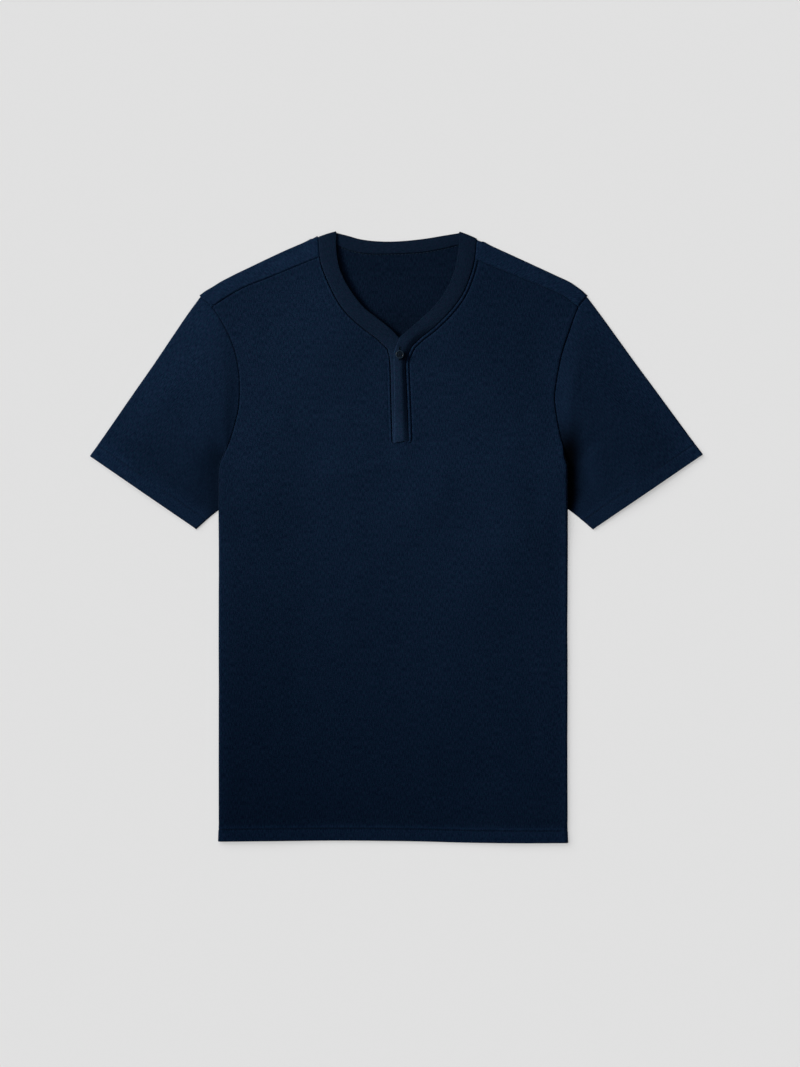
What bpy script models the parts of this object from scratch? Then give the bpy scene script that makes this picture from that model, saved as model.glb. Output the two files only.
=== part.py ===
"""A short-sleeved henley shirt, laid flat and face up, with both sides tucked under.

Every piece is a wall of jersey. A panel is drawn as the maker cuts it, as a flat pattern,
and a lay function then folds it at the sides and over the shoulders. The tables are in
millimetres, from the placket line (x) and the hem (y), and a mesh is made in metres.
+X is the wearer's left, +Y runs to the collar, and +Z points up from the table.
"""

import math
from collections import namedtuple

import bmesh
import bpy
import numpy as np

# ---- driving sizes, in millimetres ------------------------------------------------------
MM = 0.001
WALL = 1.0  # jersey with its loops, as a solid wall
BAND_WALL = 1.8  # neckband and placket: the jersey doubled
SEAM_GAP = 0.4  # between two pieces that are sewn together
LAYER = WALL + SEAM_GAP  # middle to middle of two layers that lie on each other
CENTRE_X, CENTRE_Y = -3.5, 348.7  # middle of the laid shirt, which becomes the origin

GROUND = WALL / 2  # middle of a layer that lies on the table
FRONT_REST = 2.5  # middle of the front panel, of the yoke and of the overarm fold
HEM_SETBACK = 1.5  # the back hem lies this much above the front hem
ARMPIT_Y = 408.0
CHEST_Y = 500.0  # only what lies below this turns under at the sides
YOKE_Y = 560.0  # and only what lies above this turns over the shoulders
STRIP_RAMP = 40.0  # the back comes down over this much past a tucked strip
FRONT_SPREAD = 2.0  # and the front over this many times as much

FOLD_HEIGHT = 2.9  # axis of both side folds
FRONT_RADIUS = 2.4  # the front panel is the outer turn of a side fold
BACK_RADIUS = 1.0  # and the back panel the inner one
SHOULDER_RADIUS = (FRONT_REST - GROUND) / 2
SLEEVE_LIFT = 2 * LAYER  # the two sleeve layers under the body at each armpit
SLEEVE_TOP, SLEEVE_FOOT = 420.0, 376.0  # where a sleeve leaves the body's edge
SLEEVE_MARGIN, SLEEVE_RAMP = 3.0, 39.0  # the body is lifted round it, then comes down
STRIP_TOP, STRIP_TOP_RISE = 413.0, 27.0  # top of a tucked strip, and its rise to the edge
STRIP_TOP_RAMP = 55.0
SOFT_START = 50.0  # the front's softer slope begins over this much from its fold

BACK_BAND_Z = BAND_WALL / 2
FRONT_BAND_Z = BACK_BAND_Z + BAND_WALL + SEAM_GAP
PLACKET_Z = FRONT_BAND_Z + BAND_WALL + SEAM_GAP
BAND_RADIUS = (FRONT_BAND_Z - BACK_BAND_Z) / 2
PLACKET_BOTTOM = 456.5
PLACKET_FLAT = 0.42  # share of the placket's width that lies over the under placket

BUTTON_DIAMETER = 9.6
BUTTON_THICKNESS = 2.0
BUTTON_GAP = 0.3  # over the placket
BUTTON_RIM = 1.2
BUTTON_DISH = 0.5
BUTTON_HOLE = 1.1
BUTTON_HOLE_SPREAD = 1.25
BUTTON_X, BUTTON_Y = 0.4, 557.0

SHOULDER_SLANT = 1.12  # upright height of a shoulder fold's turn, over its length
FOLD_EASE = 0.9  # a sleeve stands this much further off where the armhole turns under
SLEEVE_FALL = 26.0  # its top layer comes down from the seam's height over this much
TURN_SHARE = 0.78  # share of the armhole at which it turns under the body
SLEEVE_RINGS, SLEEVE_ACROSS, SLEEVE_FOLD_STEPS = 12, 24, 4
BAND_SPACING, BAND_COLUMNS, PLACKET_RISE = 6.0, 6, 46.0
BUTTON_STEPS = 40
ARC_STEPS = 6  # faces round a side or shoulder fold
GRID = 30.0  # grid of a panel away from its folds
FINE_GRID = 14.0  # and round the armpits, from ARMPIT_BELOW to CHEST_Y
LOWER_GRID = 1.5  # the grid's rows are this many times as far apart below that
ARMPIT_BELOW, SHOULDER_TOP = 345.0, 690.0
NEAR_FOLD_LINES = (5, 14, 27, 42, 58)  # more lines, inside a side fold's axis
STRIP_LINES = (14.0, 30.0)  # and on its tucked strip

CLOSEST = 0.05  # points of a pattern nearer than this are one

Side = namedtuple("Side", "name sign edge tuck")
RIGHT = Side("right", -1, 206.8, 50.0)  # edge: visible side fold, from the placket line
LEFT = Side("left", 1, 192.2, 50.0)
SIDES = (RIGHT, LEFT)

# ---- outlines: x and y of the laid shirt -------------------------------------------------
HEM = ((-207, 0.5), (-130, 1.2), (-60, 1.5), (20, 0.6), (75, -0.8), (135, -1.3), (192, -1.1))
# The armhole seam, from the shoulder seam down to the side fold.
ARMHOLE = {
    "right": ((-214.7, 612.0), (-199.5, 587.4), (-188.2, 560.1), (-183.3, 530.2),
              (-183.8, 500.5), (-187.3, 482.6), (-193.4, 460.7), (-198.7, 447.6),
              (-203.0, 437.5)),
    "left": ((205.0, 612.2), (195.6, 588.0), (186.0, 559.0), (180.6, 532.0),
             (177.7, 508.0), (180.4, 484.0), (184.0, 465.0), (187.3, 452.0),
             (189.0, 437.5)),
}
# The armhole goes on under the body: distance in from the side fold's axis, and y.
ARMHOLE_UNDER = ((3.0, 414.5), (20.0, 410.5), (46.9, ARMPIT_Y))
BACK_SHALLOWER = 8.0  # the back armhole is cut this much less deep, between these heights
SHALLOW_FROM, SHALLOW_TO = 445.0, 600.0
# The shoulder fold, from the armhole to the neck, at the cloth's outer face.
SHOULDER_FOLD = {
    "right": ((-250.0, 607.0), (-228.4, 624.6), (-208.6, 638.4), (-191.8, 647.5),
              (-172.9, 656.7), (-134.4, 675.0), (-102.2, 688.8), (-78.9, 698.6)),
    "left": ((236.0, 607.0), (214.8, 624.6), (198.4, 638.4), (179.9, 647.5),
             (160.2, 656.7), (120.5, 675.0), (90.1, 688.8), (68.0, 699.0)),
}
# The shoulder seam lies forward of the fold. It runs from the armhole to the neck.
SHOULDER_SEAM = {
    "right": ((-214.7, 612.0), (-182.1, 632.1), (-142.3, 648.3), (-91.6, 668.9)),
    "left": ((205.0, 612.2), (183.5, 627.1), (141.3, 644.5), (86.6, 666.4)),
}
SHOULDER_POINT = {"right": (-227.6, 624.0), "left": (214.4, 624.0)}
# Seam and free edge of the neckband on the front, from the shoulder fold to the V.
BAND_SEAM = {
    "right": ((-92.7, 690.2), (-91.1, 669.6), (-87.6, 655.3), (-80.6, 638.0),
              (-71.0, 618.7), (-59.7, 603.4), (-43.9, 588.9), (-26.3, 575.8),
              (-13.6, 563.8)),
    "left": ((88.2, 688.2), (85.8, 666.1), (80.6, 646.8), (71.8, 625.7), (57.8, 606.5),
             (40.3, 589.0), (24.5, 576.7), (14.0, 566.9)),
}
BAND_FREE = {
    "right": ((-72.0, 696.8), (-71.9, 676.6), (-67.6, 653.8), (-56.1, 631.0),
              (-40.3, 610.9), (-22.8, 596.9), (-8.8, 585.5), (3.0, 572.5)),
    "left": ((68.0, 696.5), (67.4, 676.6), (63.0, 653.8), (54.3, 632.7), (42.0, 615.2),
             (26.2, 599.5), (12.3, 587.3), (0.6, 577.4)),
}
BACK_BAND_SEAM = ((-92.7, 690.2), (-74.0, 683.6), (-57.8, 677.2), (-36.0, 673.0),
                  (-10.0, 672.8), (22.8, 674.4), (46.0, 678.0), (68.1, 683.2),
                  (88.2, 688.2))
BACK_BAND_FREE = ((-72.0, 696.8), (-59.0, 693.5), (-45.0, 689.6), (-28.0, 687.4),
                  (-9.0, 686.9), (10.0, 688.0), (30.0, 690.3), (50.0, 693.6),
                  (68.0, 696.5))
# The neckband runs on as the upper placket, from the V down.
PLACKET_SEAM = ((9.6, 557.4), (7.0, 547.0), (8.6, 505.5), (10.4, PLACKET_BOTTOM))
PLACKET_FREE = ((-5.0, 565.0), (-6.6, 553.0), (-5.8, 505.5), (-5.7, PLACKET_BOTTOM))
# The under placket: its seam on the wearer's right, and its hidden free edge.
UNDER_SEAM = ((-12.8, 562.8), (-10.5, 547.0), (-9.3, 505.0), (-7.9, PLACKET_BOTTOM))
UNDER_FREE = ((-1.2, 569.0), (-0.6, 553.0), (0.2, 505.0), (0.6, PLACKET_BOTTOM))
# Sleeves: the overarm and underarm folds, each from the armhole to the cuff.
OVERARM = {
    "right": ((-227.6, 624.0), (-247.0, 597.1), (-277.7, 551.3), (-309.6, 505.5),
              (-353.9, 441.0)),
    "left": ((214.4, 624.0), (234.4, 597.1), (267.5, 551.3), (301.2, 505.5),
             (346.9, 443.0)),
}
UNDERARM = {
    "right": ((-156.8, ARMPIT_Y), (-182.0, 396.0), (-206.9, 379.6), (-233.2, 357.8)),
    "left": ((142.2, ARMPIT_Y), (168.0, 396.0), (194.1, 379.6), (222.1, 357.5)),
}
# Soft swells of the front: middle, half length along and across, turn, and height.
Swell = namedtuple("Swell", "x y along across turn height")
SWELLS = (
    Swell(-95, 560, 95, 45, 62, 1.6),
    Swell(100, 548, 90, 42, -60, 1.3),
    Swell(-70, 350, 190, 60, 86, 1.5),
    Swell(75, 300, 210, 62, 94, 1.7),
    Swell(-10, 120, 150, 70, 10, 1.2),
)
# The front stands off the back round the neck: middle, half lengths and height.
NECK_RISE_X, NECK_RISE_Y = 0.0, 622.0
NECK_RISE_ACROSS, NECK_RISE_ALONG, NECK_RISE = 115.0, 58.0, 4.0
RISE_START = 14.0  # it begins over this much from a shoulder fold
SLEEVE_PUFF = 4.2  # the most that a sleeve's top layer stands up
CUFF_FLATTER = 0.35  # share of it lost at the cuff

NAVY = (0.0078, 0.0160, 0.0300)
NAVY_BAND = (0.0100, 0.0185, 0.0330)
NAVY_PLASTIC = (0.0070, 0.0120, 0.0220)


# ---- curves ------------------------------------------------------------------------------
def smooth(rows, steps=8):
    """Points of a curve through the rows, with this many steps between two of them."""
    rows = np.array(rows, float)
    first, last = 2 * rows[0] - rows[1], 2 * rows[-1] - rows[-2]
    rows = np.vstack([first, rows, last])
    part = (np.arange(steps) / steps)[:, None]
    spans = []
    for before, start, end, after in zip(rows, rows[1:], rows[2:], rows[3:]):
        bend = 2 * before - 5 * start + 4 * end - after
        twist = 3 * start - before - 3 * end + after
        spans.append(start + 0.5 * part * (end - before + part * (bend + part * twist)))
    return np.vstack(spans + [rows[-2:-1]])


def distance_along(points):
    steps = np.linalg.norm(np.diff(points, axis=0), axis=1)
    return np.concatenate([[0], np.cumsum(steps)])


def evenly(points, count):
    """The same curve as a number of evenly spaced points."""
    along = distance_along(points)
    at = np.linspace(0, along[-1], count)
    return np.column_stack([np.interp(at, along, column) for column in points.T])


def curve(rows, spacing):
    points = smooth(rows)
    return evenly(points, max(3, round(distance_along(points)[-1] / spacing) + 1))


def normals(points):
    """Unit normals of a curve, a quarter turn anticlockwise from its direction."""
    ahead = np.gradient(points, axis=0)
    ahead /= np.linalg.norm(ahead, axis=1)[:, None]
    return np.column_stack([-ahead[:, 1], ahead[:, 0]])


def offset(points, distance):
    return points + distance * normals(points)


def ease(low, high, value):
    """0 below low and 1 above high, with a soft start and end."""
    part = np.clip((value - low) / (high - low), 0, 1)
    return part * part * (3 - 2 * part)


# ---- how the shirt is laid ---------------------------------------------------------------
def fold_axis(side):
    return side.edge - WALL / 2 - FRONT_RADIUS


def hidden_triangle(side):
    """Corners of the part of the sleeve that lies under the body, in order round it."""
    armpit = (side.sign * (side.edge - side.tuck), ARMPIT_Y)
    out = side.sign * (side.edge + WALL)
    return np.array(((out, SLEEVE_TOP), armpit, (out, SLEEVE_FOOT)))


def over_sleeve(x, y, spread=1.0):
    """1 over the hidden part of a sleeve, falling to 0 away from it."""
    cover = np.zeros_like(x)
    far = SLEEVE_MARGIN + SLEEVE_RAMP * spread
    for side in SIDES:
        corners = hidden_triangle(side)
        ahead = np.roll(corners, -1, axis=0) - corners
        ahead /= np.linalg.norm(ahead, axis=1)[:, None]
        away = [
            side.sign * ((x - corner[0]) * -step[1] + (y - corner[1]) * step[0])
            for corner, step in zip(corners, ahead)
        ]
        cover = np.maximum(cover, 1 - ease(SLEEVE_MARGIN, far, -np.min(away, axis=0)))
    return cover


def over_strip(x, y, spread=1.0):
    """1 over a tucked side strip, falling to 0 past its edge and above its top."""
    cover = np.zeros_like(x)
    for side in SIDES:
        reach = side.sign * x - (side.edge - side.tuck)
        top = STRIP_TOP + STRIP_TOP_RISE * np.clip(reach / side.tuck, 0, 1)
        near = ease(-STRIP_RAMP * spread, 0, reach)
        near *= 1 - ease(0, STRIP_TOP_RAMP * spread, y - top)
        cover = np.maximum(cover, near)
    return cover


def neck_rise(x, y):
    across, along = (x - NECK_RISE_X) / NECK_RISE_ACROSS, (y - NECK_RISE_Y) / NECK_RISE_ALONG
    return NECK_RISE * np.exp(-(across**4) - along**4)


def relaxed(cover, x, y, spread, tucked):
    """The same cover for a layer that spans softly from what lies below, save at its fold."""
    tight = cover(x, y)
    inward = np.min([fold_axis(side) - side.sign * x for side in SIDES], axis=0)
    return tight + (cover(x, y, spread) - tight) * np.where(tucked, 0, ease(0, SOFT_START, inward))


def swells(x, y):
    height = np.zeros_like(x)
    for swell in SWELLS:
        turn = math.radians(swell.turn)
        right, up = x - swell.x, y - swell.y
        along = (right * math.cos(turn) + up * math.sin(turn)) / swell.along
        across = (up * math.cos(turn) - right * math.sin(turn)) / swell.across
        height += swell.height * np.exp(-(along**2) - across**2)
    return height


def tuck_sides(pattern, radius, rest, spread=1.0):
    """Laid points of a panel whose sides turn under, and how far round each one is."""
    across, y = pattern.T
    x = across.copy()
    turned = np.zeros_like(x)
    for side in SIDES:
        past = side.sign * across - fold_axis(side)
        folded = (past > 0) & (y < CHEST_Y)
        turned[folded] = np.clip(past / radius, 0, math.pi)[folded]
        under = np.maximum(past - math.pi * radius, 0)
        laid = side.sign * (fold_axis(side) + radius * np.sin(turned) - under)
        x[folded] = laid[folded]
    flat = rest(x, y)
    top = FOLD_HEIGHT + radius
    z = np.where(
        turned > 0,
        FOLD_HEIGHT + radius * np.cos(turned),
        flat + (top - flat) * relaxed(over_strip, x, y, spread, turned > 0),
    )
    z += SLEEVE_LIFT * relaxed(over_sleeve, x, y, spread, turned > 0)
    return np.column_stack([x, y, z]), turned


def front_rest(x, y):
    return FRONT_REST + swells(x, y) + neck_rise(x, y)


def back_rest(x, y):
    return np.full_like(x, GROUND)


def lay_front(pattern):
    """Laid points of the front panel, and how far round its side fold each one is."""
    return tuck_sides(pattern, FRONT_RADIUS, front_rest, FRONT_SPREAD)


def shoulder_base(side):
    """The line where the back panel starts to turn over the shoulder, and its normals."""
    line = curve(SHOULDER_FOLD[side.name], 0.5)
    up = -side.sign * normals(line)
    return line - (WALL / 2 + SHOULDER_RADIUS) * up, up


def past_shoulder(points, side):
    """Foot of each point on the shoulder's base line, the normal there and the height."""
    line, up = shoulder_base(side)
    nearest = np.argmin(np.linalg.norm(points[:, None] - line[None], axis=2), axis=1)
    height = np.sum((points - line[nearest]) * up[nearest], axis=1)
    return points - height[:, None] * up[nearest], up[nearest], height


def unfold(points, side):
    """Pattern points of the back panel for points of its yoke, which lies on the front."""
    foot, up, height = past_shoulder(np.array(points, float), side)
    return foot + (math.pi * SHOULDER_RADIUS - height)[:, None] * up


def lay_back(pattern):
    laid = tuck_sides(pattern, BACK_RADIUS, back_rest)[0]
    for side in SIDES:
        upper = (side.sign * pattern[:, 0] > 0) & (pattern[:, 1] > YOKE_Y)
        rows = np.flatnonzero(upper)
        foot, up, height = past_shoulder(pattern[rows], side)
        over = height > 0
        rows, foot, up, height = rows[over], foot[over], up[over], height[over]
        turned = np.clip(height / SHOULDER_RADIUS, 0, math.pi)
        ahead = SHOULDER_RADIUS * np.sin(turned)
        ahead -= np.maximum(height - math.pi * SHOULDER_RADIUS, 0)
        laid[rows, :2] = foot + ahead[:, None] * up
        laid[rows, 2] = GROUND + SHOULDER_RADIUS * (1 - np.cos(turned))
        start = math.pi * SHOULDER_RADIUS
        laid[rows, 2] += neck_rise(*laid[rows, :2].T) * ease(start, start + RISE_START, height)
    return laid


# ---- flat patterns -----------------------------------------------------------------------
def shoulder_point(side):
    """Where the armhole seam meets the line on which the back turns over."""
    line, _ = shoulder_base(side)
    return line[np.argmin(np.linalg.norm(line - SHOULDER_POINT[side.name], axis=1))]


def armhole(side, radius, shallower=0.0):
    """Pattern points of an armhole, from the shoulder fold to the side seam."""
    open_rows = np.vstack([shoulder_point(side), ARMHOLE[side.name]])
    rise = np.clip((open_rows[:, 1] - SHALLOW_FROM) / (SHALLOW_TO - SHALLOW_FROM), 0, 1)
    open_rows[:, 0] += side.sign * shallower * np.sin(math.pi * rise)
    axis = fold_axis(side)
    under = [(side.sign * (axis + math.pi * radius + inward), y)
             for inward, y in ARMHOLE_UNDER]
    return smooth(np.vstack([open_rows, under]), 6)


def hem_edge(radius, setback):
    rows = smooth(HEM, 3)
    right, left = (side.sign * (fold_axis(side) + math.pi * radius + ARMHOLE_UNDER[-1][0])
                   for side in SIDES)
    rows[:, 1] += setback
    return np.vstack([(right, rows[0, 1]), rows[1:-1], (left, rows[-1, 1])])


def below(points, limit):
    return points[points[:, 1] < limit]


def front_pattern():
    """Outline of the front, anticlockwise from the hem on the wearer's right."""
    shoulders = {side: offset(curve(SHOULDER_SEAM[side.name], 20), side.sign * SEAM_GAP)
                 for side in SIDES}
    left_arm = below(armhole(LEFT, FRONT_RADIUS)[::-1], shoulders[LEFT][0, 1] - 1)
    right_arm = below(armhole(RIGHT, FRONT_RADIUS), shoulders[RIGHT][0, 1] - 1)
    left_neck, right_neck = (
        np.vstack([offset(smooth(rows, 5), side.sign * SEAM_GAP) for rows in edges])
        for side, edges in ((LEFT, (BAND_SEAM["left"], PLACKET_SEAM)),
                            (RIGHT, (BAND_SEAM["right"], UNDER_SEAM)))
    )
    left_neck = below(left_neck, shoulders[LEFT][-1, 1] - 1)
    right_neck = below(right_neck, shoulders[RIGHT][-1, 1] - 1)
    notch = np.array(((left_neck[-1, 0], PLACKET_BOTTOM - SEAM_GAP),
                      (right_neck[-1, 0], PLACKET_BOTTOM - SEAM_GAP)))
    return np.vstack([
        hem_edge(FRONT_RADIUS, 0), left_arm, shoulders[LEFT], left_neck[:-1], notch,
        right_neck[::-1][1:], shoulders[RIGHT][::-1], right_arm,
    ])


def yoke_edge(side):
    """The yoke's three edges, from the armhole round the shoulder seam to the neck."""
    arm = smooth(np.vstack([shoulder_point(side), ARMHOLE[side.name][:2]]), 6)[:6]
    seam = curve(SHOULDER_SEAM[side.name], 20)
    neck = smooth(BAND_SEAM[side.name], 5)
    wider = SEAM_GAP + FOLD_EASE * ease(seam[-1, 1], neck[0, 1], neck[:, 1])
    neck = neck + side.sign * wider[:, None] * normals(neck)
    neck = neck[neck[:, 1] > seam[-1, 1] + 1][::-1]
    return unfold(np.vstack([arm, seam[:-1], (neck[0, 0], seam[-1, 1]), neck]), side)


def back_pattern():
    """Outline of the back, anticlockwise from the hem on the wearer's right."""
    left_arm = armhole(LEFT, BACK_RADIUS, BACK_SHALLOWER)[::-1]
    right_arm = armhole(RIGHT, BACK_RADIUS, BACK_SHALLOWER)
    neck = offset(smooth(BACK_BAND_SEAM, 4), -SEAM_GAP)[::-1]
    neck[[0, -1], 0] += (FOLD_EASE, -FOLD_EASE)
    return np.vstack([
        hem_edge(BACK_RADIUS, HEM_SETBACK), left_arm, yoke_edge(LEFT), neck,
        yoke_edge(RIGHT)[::-1], right_arm,
    ])


def grid_lines(radius):
    """The x and y lines that a pattern is divided on: close together round the folds."""
    across = list(np.arange(-fold_axis(RIGHT) + GRID, fold_axis(LEFT), GRID))
    for side in SIDES:
        turn = np.linspace(0, math.pi * radius, ARC_STEPS + 1)
        strip = math.pi * radius + np.array(STRIP_LINES)
        across += list(side.sign * (fold_axis(side) + np.concatenate([turn, strip])))
        across += [side.sign * (fold_axis(side) - step) for step in NEAR_FOLD_LINES]
    up = np.concatenate([
        np.arange(GRID, ARMPIT_BELOW, GRID * LOWER_GRID),
        np.arange(ARMPIT_BELOW, CHEST_Y, FINE_GRID),
        np.arange(CHEST_Y, SHOULDER_TOP, GRID),
    ])
    return across, up


# ---- meshes ------------------------------------------------------------------------------
def cut_across(mesh, places, direction):
    for place in places:
        bmesh.ops.bisect_plane(
            mesh, geom=mesh.verts[:] + mesh.edges[:] + mesh.faces[:], dist=1e-5,
            plane_co=place, plane_no=direction,
        )


def shoulder_height(x):
    """y of the line where the back starts to turn over, across both shoulders."""
    lines = [shoulder_base(side)[0][::-side.sign] for side in SIDES]
    return np.interp(x, *np.vstack([lines[0], lines[1]]).T)


def shift_up(mesh, sign):
    """Shears the pattern so that both shoulder folds become one level line, or back."""
    heights = shoulder_height(np.array([vertex.co.x for vertex in mesh.verts]))
    for vertex, height in zip(mesh.verts, heights):
        vertex.co.y += sign * height


def panel_mesh(outline, radius, lay, over_shoulders=False):
    """The outline as one face, divided by the grid and laid."""
    mesh = bmesh.new()
    mesh.faces.new([mesh.verts.new((x, y, 0)) for x, y in outline])
    across, up = grid_lines(radius)
    cut_across(mesh, [(x, 0, 0) for x in across], (1, 0, 0))
    cut_across(mesh, [(0, y, 0) for y in up], (0, 1, 0))
    if over_shoulders:
        turn = np.linspace(0, math.pi * SHOULDER_RADIUS, ARC_STEPS + 1) * SHOULDER_SLANT
        shift_up(mesh, -1)
        cut_across(mesh, [(0, height, 0) for height in turn], (0, 1, 0))
        shift_up(mesh, 1)
    bmesh.ops.remove_doubles(mesh, verts=mesh.verts[:], dist=CLOSEST)
    bmesh.ops.triangulate(mesh, faces=mesh.faces[:])
    laid = lay(np.array([vertex.co[:2] for vertex in mesh.verts]))
    place(mesh, laid)
    return mesh


def place(mesh, laid):
    """Moves the vertices to these points, measured from the shirt's middle, in metres."""
    for vertex, (x, y, z) in zip(mesh.verts, laid):
        vertex.co = ((x - CENTRE_X) * MM, (y - CENTRE_Y) * MM, z * MM)


def rows_mesh(rows, closed):
    """A sheet through rows of points. A closed one is a tube."""
    mesh = bmesh.new()
    made = [[mesh.verts.new(point) for point in row] for row in rows]
    for near, far in zip(made, made[1:]):
        last = len(near) if closed else len(near) - 1
        for index in range(last):
            after = (index + 1) % len(near)
            mesh.faces.new((near[index], near[after], far[after], far[index]))
    bmesh.ops.triangulate(mesh, faces=mesh.faces[:])
    place(mesh, [vertex.co[:] for vertex in mesh.verts])
    return mesh


def piece(name, mesh, thickness, material, parts):
    """An object of this mesh, given its wall by Solidify."""
    data = bpy.data.meshes.new(name)
    mesh.to_mesh(data)
    mesh.free()
    data.shade_smooth()
    data.materials.append(material)
    made = bpy.data.objects.new(name, data)
    parts.objects.link(made)
    wall = made.modifiers.new("wall", "SOLIDIFY")
    wall.thickness = thickness * MM
    wall.offset = 0
    wall.use_quality_normals = True
    return made


def cloth(name, colour):
    material = bpy.data.materials.new(name)
    material.use_nodes = True
    shader = material.node_tree.nodes["Principled BSDF"]
    shader.inputs["Base Color"].default_value = (*colour, 1)
    shader.inputs["Roughness"].default_value = 0.9
    material.diffuse_color = (*colour, 1)
    return material


# ---- the pieces --------------------------------------------------------------------------
def make_front(parts, jersey):
    mesh = panel_mesh(front_pattern(), FRONT_RADIUS, lambda points: lay_front(points)[0])
    return piece("front_panel", mesh, WALL, jersey, parts)


def make_back(parts, jersey):
    mesh = panel_mesh(back_pattern(), BACK_RADIUS, lay_back, over_shoulders=True)
    return piece("back_panel", mesh, WALL, jersey, parts)


def top_of_sleeve(side):
    """Laid points of the sleeve's front edge, along the armhole seam."""
    seam = armhole(side, FRONT_RADIUS)
    _, turned = lay_front(seam)
    wider = SEAM_GAP + FOLD_EASE * ease(0, math.pi / 5, turned)
    away = -side.sign * normals(seam)
    laid, turned = lay_front(seam - wider[:, None] * away)
    laid[:, 2] -= LAYER * ease(math.pi / 2, math.pi * 0.95, turned)
    laid[turned > math.pi * 0.99, 2] = GROUND + LAYER
    return laid


def bottom_of_sleeve(side):
    """The same for its back edge, which stays on the table."""
    seam = armhole(side, BACK_RADIUS, BACK_SHALLOWER)
    away = -side.sign * normals(seam)
    laid, _ = tuck_sides(seam - SEAM_GAP * away, BACK_RADIUS, back_rest)
    laid[:, 2] = GROUND
    return laid


def closer_at_fold(points, count):
    """The same curve again, with its points closest where the armhole turns under."""
    share = distance_along(points) / distance_along(points)[-1]
    steps = np.linspace(0, 1, 400)
    weight = np.cumsum(1 + 3 * np.exp(-(((steps - TURN_SHARE) / 0.1) ** 2)))
    at = np.interp(np.linspace(weight[0], weight[-1], count), weight, steps)
    return np.column_stack([np.interp(at, share, column) for column in points.T])


def sleeve_rings(side, rings, across):
    """Rings of a flattened tube, from the armhole to the cuff."""
    over, under = (evenly(smooth(table[side.name]), rings) for table in (OVERARM, UNDERARM))
    over_out, under_out = side.sign * normals(over), -side.sign * normals(under)
    over -= (WALL / 2 + SHOULDER_RADIUS) * over_out
    under -= (WALL / 2 + LAYER / 2) * under_out
    sheets = []
    for edge in (top_of_sleeve(side), bottom_of_sleeve(side)):
        edge[-1, :2] = under[0]
        sheets.append(closer_at_fold(edge, across))
    over[0] = sheets[0][0, :2]
    share = (distance_along(sheets[0]) / distance_along(sheets[0])[-1])[:, None]
    cuff = over[-1] + share * (under[-1] - over[-1])
    made = []
    for step, (shoulder, armpit) in enumerate(zip(over, under)):
        out = step / (rings - 1)
        bend = (1 - share) * (shoulder - (1 - out) * over[0] - out * over[-1])
        bend += share * (armpit - (1 - out) * under[0] - out * under[-1])
        front, back = ((1 - out) * sheet[:, :2] + out * cuff + bend for sheet in sheets)
        top = np.column_stack([front, sleeve_height(front, sheets[0], share[:, 0], out)])
        bottom = np.column_stack([back, np.full(across, GROUND)])
        made.append(np.vstack([
            top, fold_arc(top[-1], bottom[-1], under_out[step]), bottom[::-1],
            fold_arc(bottom[0], top[0], over_out[step]),
        ]))
    return made


def sleeve_height(plan, edge, share, out):
    """Height of a sleeve's top layer: a soft puff that meets the armhole seam."""
    covered = over_sleeve(*plan.T)
    rest = FRONT_REST + (GROUND + LAYER - FRONT_REST) * share
    puff = SLEEVE_PUFF * np.sin(math.pi * share) ** 1.5 * (1 - covered)
    puff *= 1 - CUFF_FLATTER * out
    run = np.linalg.norm(plan - edge[:, :2], axis=1)
    near = 1 - ease(0, SLEEVE_FALL, run)
    height = rest + puff * (1 - near)
    return height + (edge[:, 2] - rest) * near


def fold_arc(start, end, out):
    """Points between two layers, round the fold that joins them."""
    radius = (start[2] - end[2]) / 2
    middle = (start + end) / 2
    turn = np.linspace(0, math.pi, SLEEVE_FOLD_STEPS + 1)[1:-1, None]
    flat = np.array((*out, 0.0))
    side = start - middle
    return middle + np.cos(turn) * side + np.sin(turn) * abs(radius) * flat


def make_sleeve(side, parts, jersey):
    rings = sleeve_rings(side, SLEEVE_RINGS, SLEEVE_ACROSS)
    mesh = rows_mesh(rings[::side.sign], closed=True)
    return piece(f"sleeve_{side.name}", mesh, WALL, jersey, parts)


def paired(seam, free, spacing):
    """Two edges of a strip as the same number of points."""
    seam, free = smooth(seam), smooth(free)
    count = round(distance_along(seam)[-1] / spacing) + 1
    return evenly(seam, count), evenly(free, count)


def strip_row(seam, free, seam_z, free_z, rise=0.0):
    """One row across a strip, from its free edge to its seam, with its share of the rise."""
    share = np.linspace(0, 1, BAND_COLUMNS)
    plan = free + share[:, None] * (seam - free)
    height = free_z + (seam_z - free_z) * ease(PLACKET_FLAT, 1, share)
    return np.column_stack([plan, height + rise * neck_rise(*plan.T)])


def shoulder_turn(side):
    """Rows of the neckband round the shoulder fold, from the front to the back."""
    seam, free = np.array(BAND_SEAM[side.name][0]), np.array(BAND_FREE[side.name][0])
    ahead = (free - seam) / np.linalg.norm(free - seam)
    up = -side.sign * np.array((-ahead[1], ahead[0]))
    middle = (FRONT_BAND_Z + BACK_BAND_Z) / 2
    rows = []
    for turned in np.linspace(0, math.pi, ARC_STEPS + 1)[1:-1]:
        shift = BAND_RADIUS * math.sin(turned) * up
        height = middle + BAND_RADIUS * math.cos(turned)
        rows.append(strip_row(seam + shift, free + shift, height, height))
    return rows


def front_band(side, spacing, free_edge_rise):
    """Rows of the neckband on the front, from the shoulder fold to the V."""
    seams, frees = paired(BAND_SEAM[side.name], BAND_FREE[side.name], spacing)
    along = distance_along(seams)
    raised = free_edge_rise * ease(-PLACKET_RISE, 0, along - along[-1])
    return [
        strip_row(seam, free, FRONT_BAND_Z, FRONT_BAND_Z + lift, ease(0, RISE_START, run))
        for seam, free, run, lift in zip(seams, frees, along, raised)
    ]


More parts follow.
